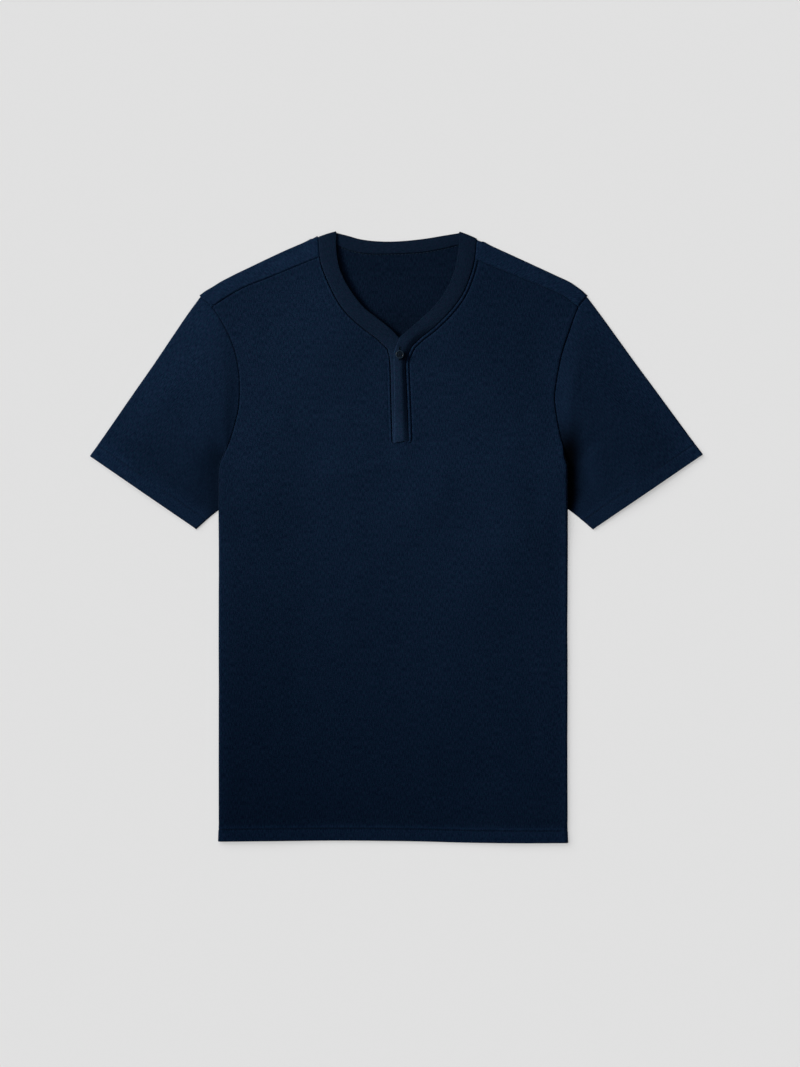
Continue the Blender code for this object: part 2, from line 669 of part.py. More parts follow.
def band_rows(spacing):
    """Rows of the neckband, from its end at the V round the neck and down the placket."""
    rows = front_band(RIGHT, spacing, 0)[::-1]
    rows += shoulder_turn(RIGHT)
    for seam, free in zip(*paired(BACK_BAND_SEAM, BACK_BAND_FREE, spacing)):
        rows.append(strip_row(seam, free, BACK_BAND_Z, BACK_BAND_Z))
    rows += shoulder_turn(LEFT)[::-1]
    rows += front_band(LEFT, spacing, PLACKET_Z - FRONT_BAND_Z)
    for seam, free in zip(*paired(PLACKET_SEAM, PLACKET_FREE, spacing)):
        rows.append(strip_row(seam, free, FRONT_BAND_Z, PLACKET_Z, 1))
    return rows


def make_band(parts, rib):
    return piece("neckband", rows_mesh(band_rows(BAND_SPACING), False), BAND_WALL, rib, parts)


def make_under_placket(parts, rib):
    rows = [strip_row(seam, free, FRONT_BAND_Z, FRONT_BAND_Z, 1)
            for seam, free in zip(*paired(UNDER_SEAM, UNDER_FREE, BAND_SPACING))]
    return piece("placket_under", rows_mesh(rows, False), BAND_WALL, rib, parts)


def make_button(parts, cutters, plastic):
    """A turned button with a raised rim and four holes, on top of the placket."""
    radius, top, dish = BUTTON_DIAMETER / 2, BUTTON_THICKNESS, BUTTON_THICKNESS - BUTTON_DISH
    inner, soft = radius - BUTTON_RIM, BUTTON_DISH
    profile = ((0, dish), (inner, dish), (inner + soft / 2, top), (radius - soft, top),
               (radius, top - soft), (radius, soft), (radius - soft, 0), (0, 0))
    data = bpy.data.meshes.new("button")
    data.from_pydata([(out * MM, 0, up * MM) for out, up in profile],
                     [(index, index + 1) for index in range(len(profile) - 1)], [])
    button = bpy.data.objects.new("button", data)
    data.materials.append(plastic)
    parts.objects.link(button)
    turned = button.modifiers.new("turned", "SCREW")
    turned.steps = turned.render_steps = BUTTON_STEPS
    turned.use_merge_vertices = True
    turned.merge_threshold = 1e-6
    seat = PLACKET_Z + BAND_WALL / 2 + BUTTON_GAP + neck_rise(BUTTON_X, BUTTON_Y + radius)
    button.location = ((BUTTON_X - CENTRE_X) * MM, (BUTTON_Y - CENTRE_Y) * MM, seat * MM)
    for index in range(4):
        turn = math.radians(45 + 90 * index)
        bpy.ops.mesh.primitive_cylinder_add(
            vertices=12, radius=BUTTON_HOLE / 2 * MM, depth=3 * BUTTON_THICKNESS * MM,
            location=(button.location.x + BUTTON_HOLE_SPREAD * math.cos(turn) * MM,
                      button.location.y + BUTTON_HOLE_SPREAD * math.sin(turn) * MM,
                      button.location.z))
        drill = bpy.context.object
        drill.name = f"button_hole_{index + 1}"
        for old in list(drill.users_collection):
            old.objects.unlink(drill)
        cutters.objects.link(drill)
        drill.hide_render = True
        drill.display_type = "WIRE"
        hole = button.modifiers.new(drill.name, "BOOLEAN")
        hole.operation = "DIFFERENCE"
        hole.object = drill
    return button


def plastic_of(name, colour):
    material = cloth(name, colour)
    material.node_tree.nodes["Principled BSDF"].inputs["Roughness"].default_value = 0.35
    return material


def main():
    for old in list(bpy.data.objects):
        bpy.data.objects.remove(old)
    parts = bpy.data.collections.new("henley_shirt")
    cutters = bpy.data.collections.new("cutters")
    for group in (parts, cutters):
        bpy.context.scene.collection.children.link(group)
    jersey, rib = cloth("navy_jersey", NAVY), cloth("navy_band", NAVY_BAND)
    make_back(parts, jersey)
    make_front(parts, jersey)
    for side in SIDES:
        make_sleeve(side, parts, jersey)
    make_band(parts, rib)
    make_under_placket(parts, rib)
    make_button(parts, cutters, plastic_of("navy_plastic", NAVY_PLASTIC))


main()
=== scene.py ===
# %% [markdown]
# # A henley shirt, laid flat
# This lesson dresses a plain solid model of a short-sleeved henley shirt. Each cell makes one
# piece or one finish, in the order in which a maker would think of them: how the shirt lies,
# how its pieces are cut, what the knit looks like, then the sewing and the light.
# We start by loading the solid model, so that all that follows is made in its own frame.

import math
from collections import namedtuple

import bpy
import numpy as np
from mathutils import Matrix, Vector, geometry
from mathutils.bvhtree import BVHTree


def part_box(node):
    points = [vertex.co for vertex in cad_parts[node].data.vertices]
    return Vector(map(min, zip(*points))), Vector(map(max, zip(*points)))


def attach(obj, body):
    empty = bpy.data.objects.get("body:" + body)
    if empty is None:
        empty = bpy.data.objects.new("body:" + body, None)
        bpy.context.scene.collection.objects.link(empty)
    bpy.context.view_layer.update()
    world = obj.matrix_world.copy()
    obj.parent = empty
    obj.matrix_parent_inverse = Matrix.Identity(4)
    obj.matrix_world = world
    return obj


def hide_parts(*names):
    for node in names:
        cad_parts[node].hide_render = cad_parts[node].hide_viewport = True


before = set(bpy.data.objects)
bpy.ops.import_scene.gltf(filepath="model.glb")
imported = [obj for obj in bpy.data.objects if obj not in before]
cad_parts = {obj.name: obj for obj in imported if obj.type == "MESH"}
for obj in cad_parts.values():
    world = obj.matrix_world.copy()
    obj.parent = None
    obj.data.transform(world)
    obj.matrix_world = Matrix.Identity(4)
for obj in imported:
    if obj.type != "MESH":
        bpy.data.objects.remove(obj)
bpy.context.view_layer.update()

# %% [markdown]
# ## Sizes of the laid shirt
# A pattern cutter works in millimetres, measured from two lines that every maker draws: the
# centre front, where the placket is, and the hem. All tables below use those two lines, and
# one small function moves the finished points into metres round the shirt's middle.
# The heights say where the middle of each layer of jersey lies above the table.

# %% Sizes and layers
MM = 0.001
CENTRE_X, CENTRE_Y = -3.5, 348.7
WALL, HEM_WALL, BAND_WALL = 0.8, 1.2, 1.7  # jersey, a pressed hem, a doubled band
LAYER = 1.4  # middle to middle of two layers that lie on each other
SEWN_GAP = 0.28  # between two pieces that are sewn together
HALF_WALL = 0.5  # from the middle of a layer to its outside, at a fold
GROUND, FRONT_REST = 0.5, 2.5
BACK_BAND_Z, FRONT_BAND_Z, PLACKET_Z = 0.9, 3.1, 5.2
FRONT_RADIUS, BACK_RADIUS, SHOULDER_RADIUS = 2.4, 1.0, 1.0
FOLD_HEIGHT = 2.9
PLACKET_BOTTOM, ARMPIT_Y, CHEST_Y, YOKE_Y = 456.5, 408.0, 500.0, 560.0

Side = namedtuple("Side", "name sign edge tuck")
RIGHT = Side("right", -1, 206.8, 50.0)
LEFT = Side("left", 1, 192.2, 50.0)
SIDES = (RIGHT, LEFT)
print("wearer's right edge at", -RIGHT.edge, "mm, left edge at", LEFT.edge, "mm")

# %% [markdown]
# ## The outlines
# Each row is one point of a seam or a fold, as x and y on the laid shirt. A smooth curve is
# drawn through the rows later, so a few points are enough, and they can be moved by hand.

# %% Seams and folds as rows of points
HEM = ((-207, 0.5), (-130, 1.2), (-60, 1.5), (20, 0.6), (75, -0.8), (135, -1.3), (192, -1.1))
ARMHOLE = {
    "right": ((-214.7, 612.0), (-199.5, 587.4), (-188.2, 560.1), (-183.3, 530.2),
              (-183.8, 500.5), (-187.3, 482.6), (-193.4, 460.7), (-198.7, 447.6),
              (-203.0, 437.5)),
    "left": ((205.0, 612.2), (195.6, 588.0), (186.0, 559.0), (180.6, 532.0),
             (177.7, 508.0), (180.4, 484.0), (184.0, 465.0), (187.3, 452.0),
             (189.0, 437.5)),
}
ARMHOLE_UNDER = ((3.0, 414.5), (20.0, 410.5), (46.9, ARMPIT_Y))
BACK_SHALLOWER, SHALLOW_FROM, SHALLOW_TO = 8.0, 445.0, 600.0
SHOULDER_FOLD = {
    "right": ((-250.0, 607.0), (-228.4, 624.6), (-208.6, 638.4), (-191.8, 647.5),
              (-172.9, 656.7), (-134.4, 675.0), (-102.2, 688.8), (-78.9, 698.6)),
    "left": ((236.0, 607.0), (214.8, 624.6), (198.4, 638.4), (179.9, 647.5),
             (160.2, 656.7), (120.5, 675.0), (90.1, 688.8), (68.0, 699.0)),
}
SHOULDER_SEAM = {
    "right": ((-214.7, 612.0), (-182.1, 632.1), (-142.3, 648.3), (-91.6, 668.9)),
    "left": ((205.0, 612.2), (183.5, 627.1), (141.3, 644.5), (86.6, 666.4)),
}
SHOULDER_POINT = {"right": (-227.6, 624.0), "left": (214.4, 624.0)}
BAND_SEAM = {
    "right": ((-92.7, 690.2), (-91.1, 669.6), (-87.6, 655.3), (-80.6, 638.0),
              (-71.0, 618.7), (-59.7, 603.4), (-43.9, 588.9), (-26.3, 575.8),
              (-13.6, 563.8)),
    "left": ((88.2, 688.2), (85.8, 666.1), (80.6, 646.8), (71.8, 625.7), (57.8, 606.5),
             (40.3, 589.0), (24.5, 576.7), (14.0, 566.9)),
}
BAND_FREE = {
    "right": ((-72.0, 696.8), (-71.9, 676.6), (-67.6, 653.8), (-56.1, 631.0),
              (-40.3, 610.9), (-22.8, 596.9), (-8.8, 585.5), (3.0, 572.5)),
    "left": ((68.0, 696.5), (67.4, 676.6), (63.0, 653.8), (54.3, 632.7), (42.0, 615.2),
             (26.2, 599.5), (12.3, 587.3), (0.6, 577.4)),
}
BACK_BAND_SEAM = ((-92.7, 690.2), (-74.0, 683.6), (-57.8, 677.2), (-36.0, 673.0),
                  (-10.0, 672.8), (22.8, 674.4), (46.0, 678.0), (68.1, 683.2),
                  (88.2, 688.2))
BACK_BAND_FREE = ((-72.0, 696.8), (-59.0, 693.5), (-45.0, 689.6), (-28.0, 687.4),
                  (-9.0, 686.9), (10.0, 688.0), (30.0, 690.3), (50.0, 693.6),
                  (68.0, 696.5))
PLACKET_SEAM = ((9.6, 557.4), (7.0, 547.0), (8.6, 505.5), (10.4, PLACKET_BOTTOM + 2.5))
PLACKET_FREE = ((-5.0, 565.0), (-6.6, 553.0), (-5.8, 505.5), (-5.7, PLACKET_BOTTOM))
UNDER_SEAM = ((-13.5, 564.1), (-10.5, 547.0), (-9.3, 505.0), (-7.9, PLACKET_BOTTOM))
UNDER_FREE = ((-0.8, 570.8), (-0.6, 553.0), (0.2, 505.0), (0.6, PLACKET_BOTTOM))
OVERARM = {
    "right": ((-227.6, 624.0), (-247.0, 597.1), (-277.7, 551.3), (-309.6, 505.5),
              (-353.9, 441.0)),
    "left": ((214.4, 624.0), (234.4, 597.1), (267.5, 551.3), (301.2, 505.5),
             (346.9, 443.0)),
}
UNDERARM = {
    "right": ((-156.8, ARMPIT_Y), (-182.0, 396.0), (-206.9, 379.6), (-233.2, 357.8)),
    "left": ((142.2, ARMPIT_Y), (168.0, 396.0), (194.1, 379.6), (222.1, 357.5)),
}
print("outline rows for", len(ARMHOLE), "armholes and", len(OVERARM), "sleeves")

# %% [markdown]
# ## Curves
# A seam is a smooth line through its rows. These few helpers draw it, space its points
# evenly, move it sideways, and find how far any point lies from it. The last one is the most
# useful in sewing: nearly all relief on a shirt follows from the distance to a seam.

# %% Curve helpers
def smooth(rows, steps=12):
    """Points of a curve through the rows, with this many steps between two of them."""
    rows = np.array(rows, float)
    first, last = 2 * rows[0] - rows[1], 2 * rows[-1] - rows[-2]
    rows = np.vstack([first, rows, last])
    part = (np.arange(steps) / steps)[:, None]
    spans = []
    for before, start, end, after in zip(rows, rows[1:], rows[2:], rows[3:]):
        bend = 2 * before - 5 * start + 4 * end - after
        twist = 3 * start - before - 3 * end + after
        spans.append(start + 0.5 * part * (end - before + part * (bend + part * twist)))
    return np.vstack(spans + [rows[-2:-1]])


def distance_along(points):
    steps = np.linalg.norm(np.diff(points, axis=0), axis=1)
    return np.concatenate([[0], np.cumsum(steps)])


def at_shares(points, shares):
    """Points of a curve at these shares of its length."""
    along = distance_along(points)
    at = np.asarray(shares) * along[-1]
    return np.column_stack([np.interp(at, along, column) for column in points.T])


def evenly(points, count):
    return at_shares(points, np.linspace(0, 1, count))


def curve(rows, spacing):
    points = smooth(rows)
    return evenly(points, max(3, round(distance_along(points)[-1] / spacing) + 1))


def normals(points):
    """Unit normals of a curve, a quarter turn anticlockwise from its direction."""
    ahead = np.gradient(points, axis=0)
    ahead /= np.linalg.norm(ahead, axis=1)[:, None]
    return np.column_stack([-ahead[:, 1], ahead[:, 0]])


def offset(points, distance):
    return points + distance * normals(points)


def ease(low, high, value):
    """0 below low and 1 above high, with a soft start and end."""
    part = np.clip((value - low) / (high - low), 0, 1)
    return part * part * (3 - 2 * part)


def bell(value, width, power=2):
    """1 at zero, falling softly to 0 past this width on either side."""
    return np.exp(-((value / width) ** power))


def from_line(points, line):
    """Distance of each point to a line, and how far along the line its foot lies."""
    points, line = np.asarray(points, float)[:, :2], np.asarray(line, float)[:, :2]
    steps = np.diff(line, axis=0)
    lengths = np.maximum(np.sum(steps**2, axis=1), 1e-9)
    start_along = distance_along(line)[:-1]
    found, along = np.empty(len(points)), np.empty(len(points))
    for low in range(0, len(points), 1500):  # in parts, to save memory
        part = points[low:low + 1500, None]
        share = np.clip(np.sum((part - line[:-1]) * steps, axis=2) / lengths, 0, 1)
        away = np.linalg.norm(part - line[:-1] - share[..., None] * steps, axis=2)
        nearest = np.argmin(away, axis=1)
        rows = np.arange(len(nearest))
        found[low:low + 1500] = away[rows, nearest]
        run = share[rows, nearest] * np.sqrt(lengths[nearest])
        along[low:low + 1500] = start_along[nearest] + run
    return found, along


print("right armhole is", round(distance_along(smooth(ARMHOLE["right"]))[-1]), "mm long")

# %% [markdown]
# ## How the shirt is laid
# The shirt is cut flat and then folded: the sides turn under by five centimetres, and the
# back comes over both shoulders. So each panel is drawn as its flat pattern, and a lay
# function carries every pattern point to its place on the table. It bends the cloth round a
# real radius at each fold and lifts it softly over whatever lies beneath, such as the tucked
# sides and the hidden part of the sleeves. Cloth keeps its length that way.

# %% Lifts over what lies beneath
STRIP_RAMP, FRONT_SPREAD, SOFT_START = 40.0, 2.0, 50.0
STRIP_TOP, STRIP_TOP_RISE, STRIP_TOP_RAMP = 413.0, 27.0, 55.0
SLEEVE_LIFT, SLEEVE_TOP, SLEEVE_FOOT = 2 * LAYER, 420.0, 376.0
SLEEVE_MARGIN, SLEEVE_RAMP = 3.0, 39.0


def fold_axis(side):
    return side.edge - HALF_WALL - FRONT_RADIUS


def hidden_triangle(side):
    armpit = (side.sign * (side.edge - side.tuck), ARMPIT_Y)
    out = side.sign * (side.edge + 1.0)
    return np.array(((out, SLEEVE_TOP), armpit, (out, SLEEVE_FOOT)))


def over_sleeve(x, y, spread=1.0):
    """1 over the hidden part of a sleeve, falling to 0 away from it."""
    cover = np.zeros_like(x)
    far = SLEEVE_MARGIN + SLEEVE_RAMP * spread
    for side in SIDES:
        corners = hidden_triangle(side)
        ahead = np.roll(corners, -1, axis=0) - corners
        ahead /= np.linalg.norm(ahead, axis=1)[:, None]
        away = [
            side.sign * ((x - corner[0]) * -step[1] + (y - corner[1]) * step[0])
            for corner, step in zip(corners, ahead)
        ]
        cover = np.maximum(cover, 1 - ease(SLEEVE_MARGIN, far, -np.min(away, axis=0)))
    return cover


def over_strip(x, y, spread=1.0):
    """1 over a tucked side strip, falling to 0 past its edge and above its top."""
    cover = np.zeros_like(x)
    for side in SIDES:
        reach = side.sign * x - (side.edge - side.tuck)
        top = STRIP_TOP + STRIP_TOP_RISE * np.clip(reach / side.tuck, 0, 1)
        near = ease(-STRIP_RAMP * spread, 0, reach)
        near *= 1 - ease(0, STRIP_TOP_RAMP * spread, y - top)
        cover = np.maximum(cover, near)
    return cover


def relaxed(cover, x, y, spread, tucked):
    """The same cover for a layer that spans softly from what lies below, save at its fold."""
    tight = cover(x, y)
    inward = np.min([fold_axis(side) - side.sign * x for side in SIDES], axis=0)
    softer = np.where(tucked, 0, ease(0, SOFT_START, inward))
    return tight + (cover(x, y, spread) - tight) * softer


def neck_rise(x, y):
    """The front stands off the back round the neck."""
    return 4.0 * bell(x, 115.0, 4) * bell(y - 622.0, 58.0, 4)


print("the front stands", float(neck_rise(np.array(0.0), np.array(622.0))), "mm off the back")

# %% [markdown]
# ## Creases and swells
# A pressed jersey shirt is nearly smooth. What is left are soft swells where air lies under
# the cloth, and a few shallow drag lines from the armpits, the shoulders and the placket.
# Each swell is one wide bump: the x and y of its middle, its length and width, its turn in
# degrees and its height. Each crease is a short curve: the x and y of three points, then a
# width and a height. Below zero it is a trough. They differ in length, depth and spacing, as
# real ones do.

# %% Swells and creases of the front
SWELLS = (
    (-95, 560, 95, 45, 62, 1.6),
    (100, 548, 90, 42, -60, 1.3),
    (-70, 350, 190, 60, 86, 1.5),
    (75, 300, 210, 62, 94, 1.7),
    (-10, 120, 150, 70, 10, 1.2),
)
FRONT_SOFT = (
    (58, 575, 42, 24, -38, 1.1),
    (-62, 572, 46, 22, 40, 0.9),
    (30, 388, 52, 32, 50, 1.9),
    (112, 318, 84, 44, 58, 2.6),
    (-112, 424, 62, 38, 78, -1.8),
    (150, 420, 52, 24, 100, -1.2),
    (160, 560, 42, 20, 80, -0.9),
    (-52, 268, 40, 26, 20, 0.7),
    (-128, 170, 90, 26, 84, -1.0),
    (138, 200, 80, 28, 98, -0.9),
    (60, 175, 40, 30, 0, 0.7),
    (-60, 62, 60, 22, 4, 0.6),
    (92, 78, 46, 20, 12, -0.6),
    (6, 450, 26, 12, 70, 1.2),
)
FRONT_CREASES = (
    (-178, 470, -140, 476, -96, 470, 7.0, 0.45),
    (-182, 448, -150, 444, -112, 430, 9.0, -0.40),
    (-186, 415, -168, 380, -160, 330, 8.0, 0.40),
    (-120, 505, -88, 486, -52, 480, 8.0, 0.30),
    (168, 462, 140, 456, 112, 440, 8.0, 0.40),
    (176, 430, 160, 400, 150, 352, 9.0, -0.45),
    (172, 520, 150, 500, 138, 470, 8.0, -0.30),
    (-18, 470, -34, 450, -60, 438, 7.0, 0.30),
    (16, 466, 38, 440, 70, 420, 8.0, 0.35),
    (96, 372, 120, 340, 128, 300, 10.0, 0.40),
    (-30, 330, -48, 300, -52, 262, 11.0, 0.35),
    (-150, 300, -146, 240, -150, 190, 11.0, -0.40),
    (20, 250, 60, 236, 104, 240, 12.0, -0.30),
    (-90, 150, -60, 128, -20, 120, 10.0, 0.30),
    (150, 160, 152, 110, 146, 60, 9.0, -0.40),
    (-178, 120, -172, 80, -176, 36, 9.0, -0.35),
    (-40, 62, 10, 54, 60, 60, 9.0, 0.25),
    (-150, 30, -110, 34, -70, 30, 6.0, -0.25),
)


def swell_height(x, y, swells):
    height = np.zeros_like(x)
    for middle_x, middle_y, long, wide, turn, high in swells:
        turn = math.radians(turn)
        right, up = x - middle_x, y - middle_y
        along = right * math.cos(turn) + up * math.sin(turn)
        across = up * math.cos(turn) - right * math.sin(turn)
        height += high * bell(along, long) * bell(across, wide)
    return height


def crease_height(x, y, creases):
    height = np.zeros_like(x)
    for *path, width, high in creases:
        line = evenly(smooth(np.reshape(path, (3, 2))), 24)
        away, along = from_line(np.column_stack([x, y]), line)
        height += high * np.sin(math.pi * along / distance_along(line)[-1]) * bell(away, width)
    return height


def mottle(x, y, seed, longest, shortest, count=26):
    """A faint uneven lie: a sum of slow waves in all directions, each of unit slope."""
    rng = np.random.RandomState(seed)
    height = np.zeros_like(x)
    for length in np.geomspace(longest, shortest, count):
        turn, start = rng.uniform(0, 2 * math.pi, 2)
        across = x * math.cos(turn) + y * math.sin(turn)
        height += length / (2 * math.pi) * np.sin(2 * math.pi * across / length + start)
    return height / count


print(len(FRONT_SOFT), "soft swells and", len(FRONT_CREASES), "creases on the front")

# %% [markdown]
# ## Turning the sides under
# The front is the outer turn and the back the inner one. Past the fold's axis a pattern point
# first runs round a half circle and then back under the body.

# %% Lay the sides
def tuck_sides(pattern, radius, rest, spread=1.0):
    """Laid points of a panel whose sides turn under, and how far round each one is."""
    across, y = pattern.T
    x = across.copy()
    turned = np.zeros_like(x)
    for side in SIDES:
        past = side.sign * across - fold_axis(side)
        folded = (past > 0) & (y < CHEST_Y)
        turned[folded] = np.clip(past / radius, 0, math.pi)[folded]
        under = np.maximum(past - math.pi * radius, 0)
        laid = side.sign * (fold_axis(side) + radius * np.sin(turned) - under)
        x[folded] = laid[folded]
    flat = rest(x, y)
    top = FOLD_HEIGHT + radius
    z = np.where(
        turned > 0,
        FOLD_HEIGHT + radius * np.cos(turned),
        flat + (top - flat) * relaxed(over_strip, x, y, spread, turned > 0),
    )
    z += SLEEVE_LIFT * relaxed(over_sleeve, x, y, spread, turned > 0)
    return np.column_stack([x, y, z]), turned


def front_rest(x, y):
    return FRONT_REST + swell_height(x, y, SWELLS) + neck_rise(x, y)


def back_rest(x, y):
    return np.full_like(x, GROUND)


def lay_front(pattern):
    return tuck_sides(pattern, FRONT_RADIUS, front_rest, FRONT_SPREAD)


print("side folds at", [round(side.sign * fold_axis(side), 1) for side in SIDES], "mm")

# %% [markdown]
# The back also comes over both shoulders. There the fold is a curve, so each point finds its
# foot on that curve, and bends round it by its height above the foot.

# %% Lay the shoulders
YOKE_RISE = 14.0  # past the fold the yoke soon rises on to the front


def shoulder_base(side):
    """The line where the back starts to turn over the shoulder, and its normals."""
    line = curve(SHOULDER_FOLD[side.name], 0.5)
    up = -side.sign * normals(line)
    return line - (HALF_WALL + SHOULDER_RADIUS) * up, up


def past_shoulder(points, side):
    """Foot of each point on the shoulder's base line, the normal there and the height."""
    line, up = shoulder_base(side)
    nearest = np.concatenate([
        np.argmin(np.linalg.norm(part[:, None] - line, axis=2), axis=1)
        for part in np.array_split(points, len(points) // 2000 + 1)])
    height = np.sum((points - line[nearest]) * up[nearest], axis=1)
    return points - height[:, None] * up[nearest], up[nearest], height


def unfold(points, side):
    """Pattern points of the back for points of its yoke, which lies on the front."""
    foot, up, height = past_shoulder(np.array(points, float), side)
    return foot + (math.pi * SHOULDER_RADIUS - height)[:, None] * up


def lay_back(pattern):
    laid, turned = tuck_sides(pattern, BACK_RADIUS, back_rest)
    for side in SIDES:
        upper = (side.sign * pattern[:, 0] > 0) & (pattern[:, 1] > YOKE_Y)
        rows = np.flatnonzero(upper)
        foot, up, height = past_shoulder(pattern[rows], side)
        over = height > 0
        rows, foot, up, height = rows[over], foot[over], up[over], height[over]
        bent = np.clip(height / SHOULDER_RADIUS, 0, math.pi)
        ahead = SHOULDER_RADIUS * np.sin(bent)
        ahead -= np.maximum(height - math.pi * SHOULDER_RADIUS, 0)
        laid[rows, :2] = foot + ahead[:, None] * up
        laid[rows, 2] = GROUND + SHOULDER_RADIUS * (1 - np.cos(bent))
        start = math.pi * SHOULDER_RADIUS
        risen = ease(start, start + YOKE_RISE, height)
        laid[rows, 2] += neck_rise(*laid[rows, :2].T) * risen
    return laid, turned


def outward(pattern, lay, sign):
    """Unit normals of the laid cloth, on its outside."""
    step = 0.15
    right = lay(pattern + (step, 0))[0] - lay(pattern - (step, 0))[0]
    up = lay(pattern + (0, step))[0] - lay(pattern - (0, step))[0]
    out = sign * np.cross(right, up)
    return out / np.linalg.norm(out, axis=1)[:, None]


print("the shoulder fold is", len(shoulder_base(LEFT)[0]), "points long")

# %% [markdown]
# ## Flat patterns
# These are the outlines that the maker cuts: the front with its slit for the placket, and the
# back, whose yokes come forward over the shoulders.

# %% Pattern outlines
HEM_SETBACK = 1.5


def shoulder_point(side):
    line, _ = shoulder_base(side)
    return line[np.argmin(np.linalg.norm(line - SHOULDER_POINT[side.name], axis=1))]


def armhole(side, radius, shallower=0.0):
    """Pattern points of an armhole, from the shoulder fold to the side seam."""
    open_rows = np.vstack([shoulder_point(side), ARMHOLE[side.name]])
    rise = np.clip((open_rows[:, 1] - SHALLOW_FROM) / (SHALLOW_TO - SHALLOW_FROM), 0, 1)
    open_rows[:, 0] += side.sign * shallower * np.sin(math.pi * rise)
    axis = fold_axis(side)
    under = [(side.sign * (axis + math.pi * radius + inward), y)
             for inward, y in ARMHOLE_UNDER]
    return smooth(np.vstack([open_rows, under]), 12)


def hem_height(x):
    """y of the hem's edge at each x."""
    return np.interp(x, *smooth(HEM).T)


def hem_edge(radius, setback):
    rows = smooth(HEM, 12)
    right, left = (side.sign * (fold_axis(side) + math.pi * radius + ARMHOLE_UNDER[-1][0])
                   for side in SIDES)
    rows[:, 1] += setback
    return np.vstack([(right, rows[0, 1]), rows[1:-1], (left, rows[-1, 1])])


def below(points, limit):
    return points[points[:, 1] < limit]


def neck_edges():
    """Neck edges of the front, left and right, from the shoulder seam to the placket's end."""
    tables = ((LEFT, (BAND_SEAM["left"], PLACKET_SEAM)),
              (RIGHT, (BAND_SEAM["right"], UNDER_SEAM)))
    edges = []
    for side, rows in tables:
        line = np.vstack([offset(smooth(row, 10), side.sign * SEWN_GAP) for row in rows])
        edges.append(below(line, SHOULDER_SEAM[side.name][-1][1] - 0.6))
    return edges


def front_pattern():
    """Outline of the front, anticlockwise from the hem on the wearer's right."""
    seams = {side: offset(curve(SHOULDER_SEAM[side.name], 4), side.sign * SEWN_GAP)
             for side in SIDES}
    left_arm = below(armhole(LEFT, FRONT_RADIUS)[::-1], seams[LEFT][0, 1] - 0.8)
    right_arm = below(armhole(RIGHT, FRONT_RADIUS), seams[RIGHT][0, 1] - 0.8)
    left_neck, right_neck = neck_edges()
    notch = np.array((left_neck[-1], right_neck[-1])) - (0, SEWN_GAP)
    return np.vstack([
        hem_edge(FRONT_RADIUS, 0), left_arm, seams[LEFT], left_neck[:-1], notch,
        right_neck[::-1][1:], seams[RIGHT][::-1], right_arm,
    ])


def yoke_edge(side):
    """The yoke's three edges, from the armhole round the shoulder seam to the neck."""
    arm = smooth(np.vstack([shoulder_point(side), ARMHOLE[side.name][:2]]), 12)[:12]
    seam = curve(SHOULDER_SEAM[side.name], 4)
    neck = smooth(BAND_SEAM[side.name], 10)
    neck = offset(neck, -0.25 * side.sign)
    neck = neck[neck[:, 1] > seam[-1, 1] + 0.6][::-1]
    return unfold(np.vstack([arm, seam[:-1], (neck[0, 0], seam[-1, 1]), neck]), side)


def back_pattern():
    """Outline of the back, anticlockwise from the hem on the wearer's right."""
    left_arm = armhole(LEFT, BACK_RADIUS, BACK_SHALLOWER)[::-1]
    right_arm = armhole(RIGHT, BACK_RADIUS, BACK_SHALLOWER)
    neck = offset(smooth(BACK_BAND_SEAM, 8), 0.2)[::-1]
    neck[[0, -1], 0] += (0.5, -0.5)
    return np.vstack([
        hem_edge(BACK_RADIUS, HEM_SETBACK), left_arm, yoke_edge(LEFT), neck,
        yoke_edge(RIGHT)[::-1], right_arm,
    ])


FRONT_OUTLINE, BACK_OUTLINE = front_pattern(), back_pattern()
print("pattern outlines:", len(FRONT_OUTLINE), "and", len(BACK_OUTLINE), "points")

# %% [markdown]
# ## From outline to sheet
# Relief beside a seam is only a few millimetres wide, while the middle of a panel is smooth.
# So the points are set close together in rings along the outline and round each fold, and in
# a plain grid elsewhere. Blender's own triangulation then joins them inside the outline.

# %% Points inside an outline
def divided(outline, longest):
    """The closed outline with its long steps cut up."""
    rows = []
    for start, end in zip(outline, np.roll(outline, -1, axis=0)):
        count = max(1, math.ceil(np.linalg.norm(end - start) / longest))
        rows.append(start + (np.arange(count) / count)[:, None] * (end - start))
    return np.vstack(rows)


def without_close(points, least):
    keep = np.linalg.norm(points - np.roll(points, 1, axis=0), axis=1) > least
    return points[keep]


def rings_inside(outline, distances):
    """Points at these distances inside the outline, left out where rings would cross."""
    ahead = np.roll(outline, -1, axis=0) - np.roll(outline, 1, axis=0)
    ahead /= np.linalg.norm(ahead, axis=1)[:, None]
    inward = np.column_stack([-ahead[:, 1], ahead[:, 0]])
    closed = np.vstack([outline, outline[:1]])
    rings = [(distance, outline + distance * inward) for distance in distances]
    return np.vstack([ring[from_line(ring, closed)[0] > 0.93 * distance]
                      for distance, ring in rings])


def panel_points(outline, distances, grid, columns, lines):
    """Rings, fold columns, extra lines and a grid, as one set of points."""
    closed = np.vstack([outline, outline[:1]])
    low, high = outline.min(axis=0), outline.max(axis=0)
    across = np.arange(low[0], high[0], grid)
    across = across[np.min(np.abs(across[:, None] - columns), axis=1) > 0.6 * grid]
    up = np.arange(low[1] + 0.5 * grid, high[1], grid)
    inner = np.vstack([np.column_stack([np.repeat(xs, len(up)), np.tile(up, len(xs))])
                       for xs in (across, columns)])
    clear = np.min([from_line(inner, line)[0] for line in lines], axis=0)
    inner = np.vstack([inner[clear > 0.5 * grid], *lines])
    inner = inner[from_line(inner, closed)[0] > distances[-1] + 0.35 * grid]
    inner = np.vstack([rings_inside(outline, distances), inner])
    return inner[is_inside(inner, outline)]


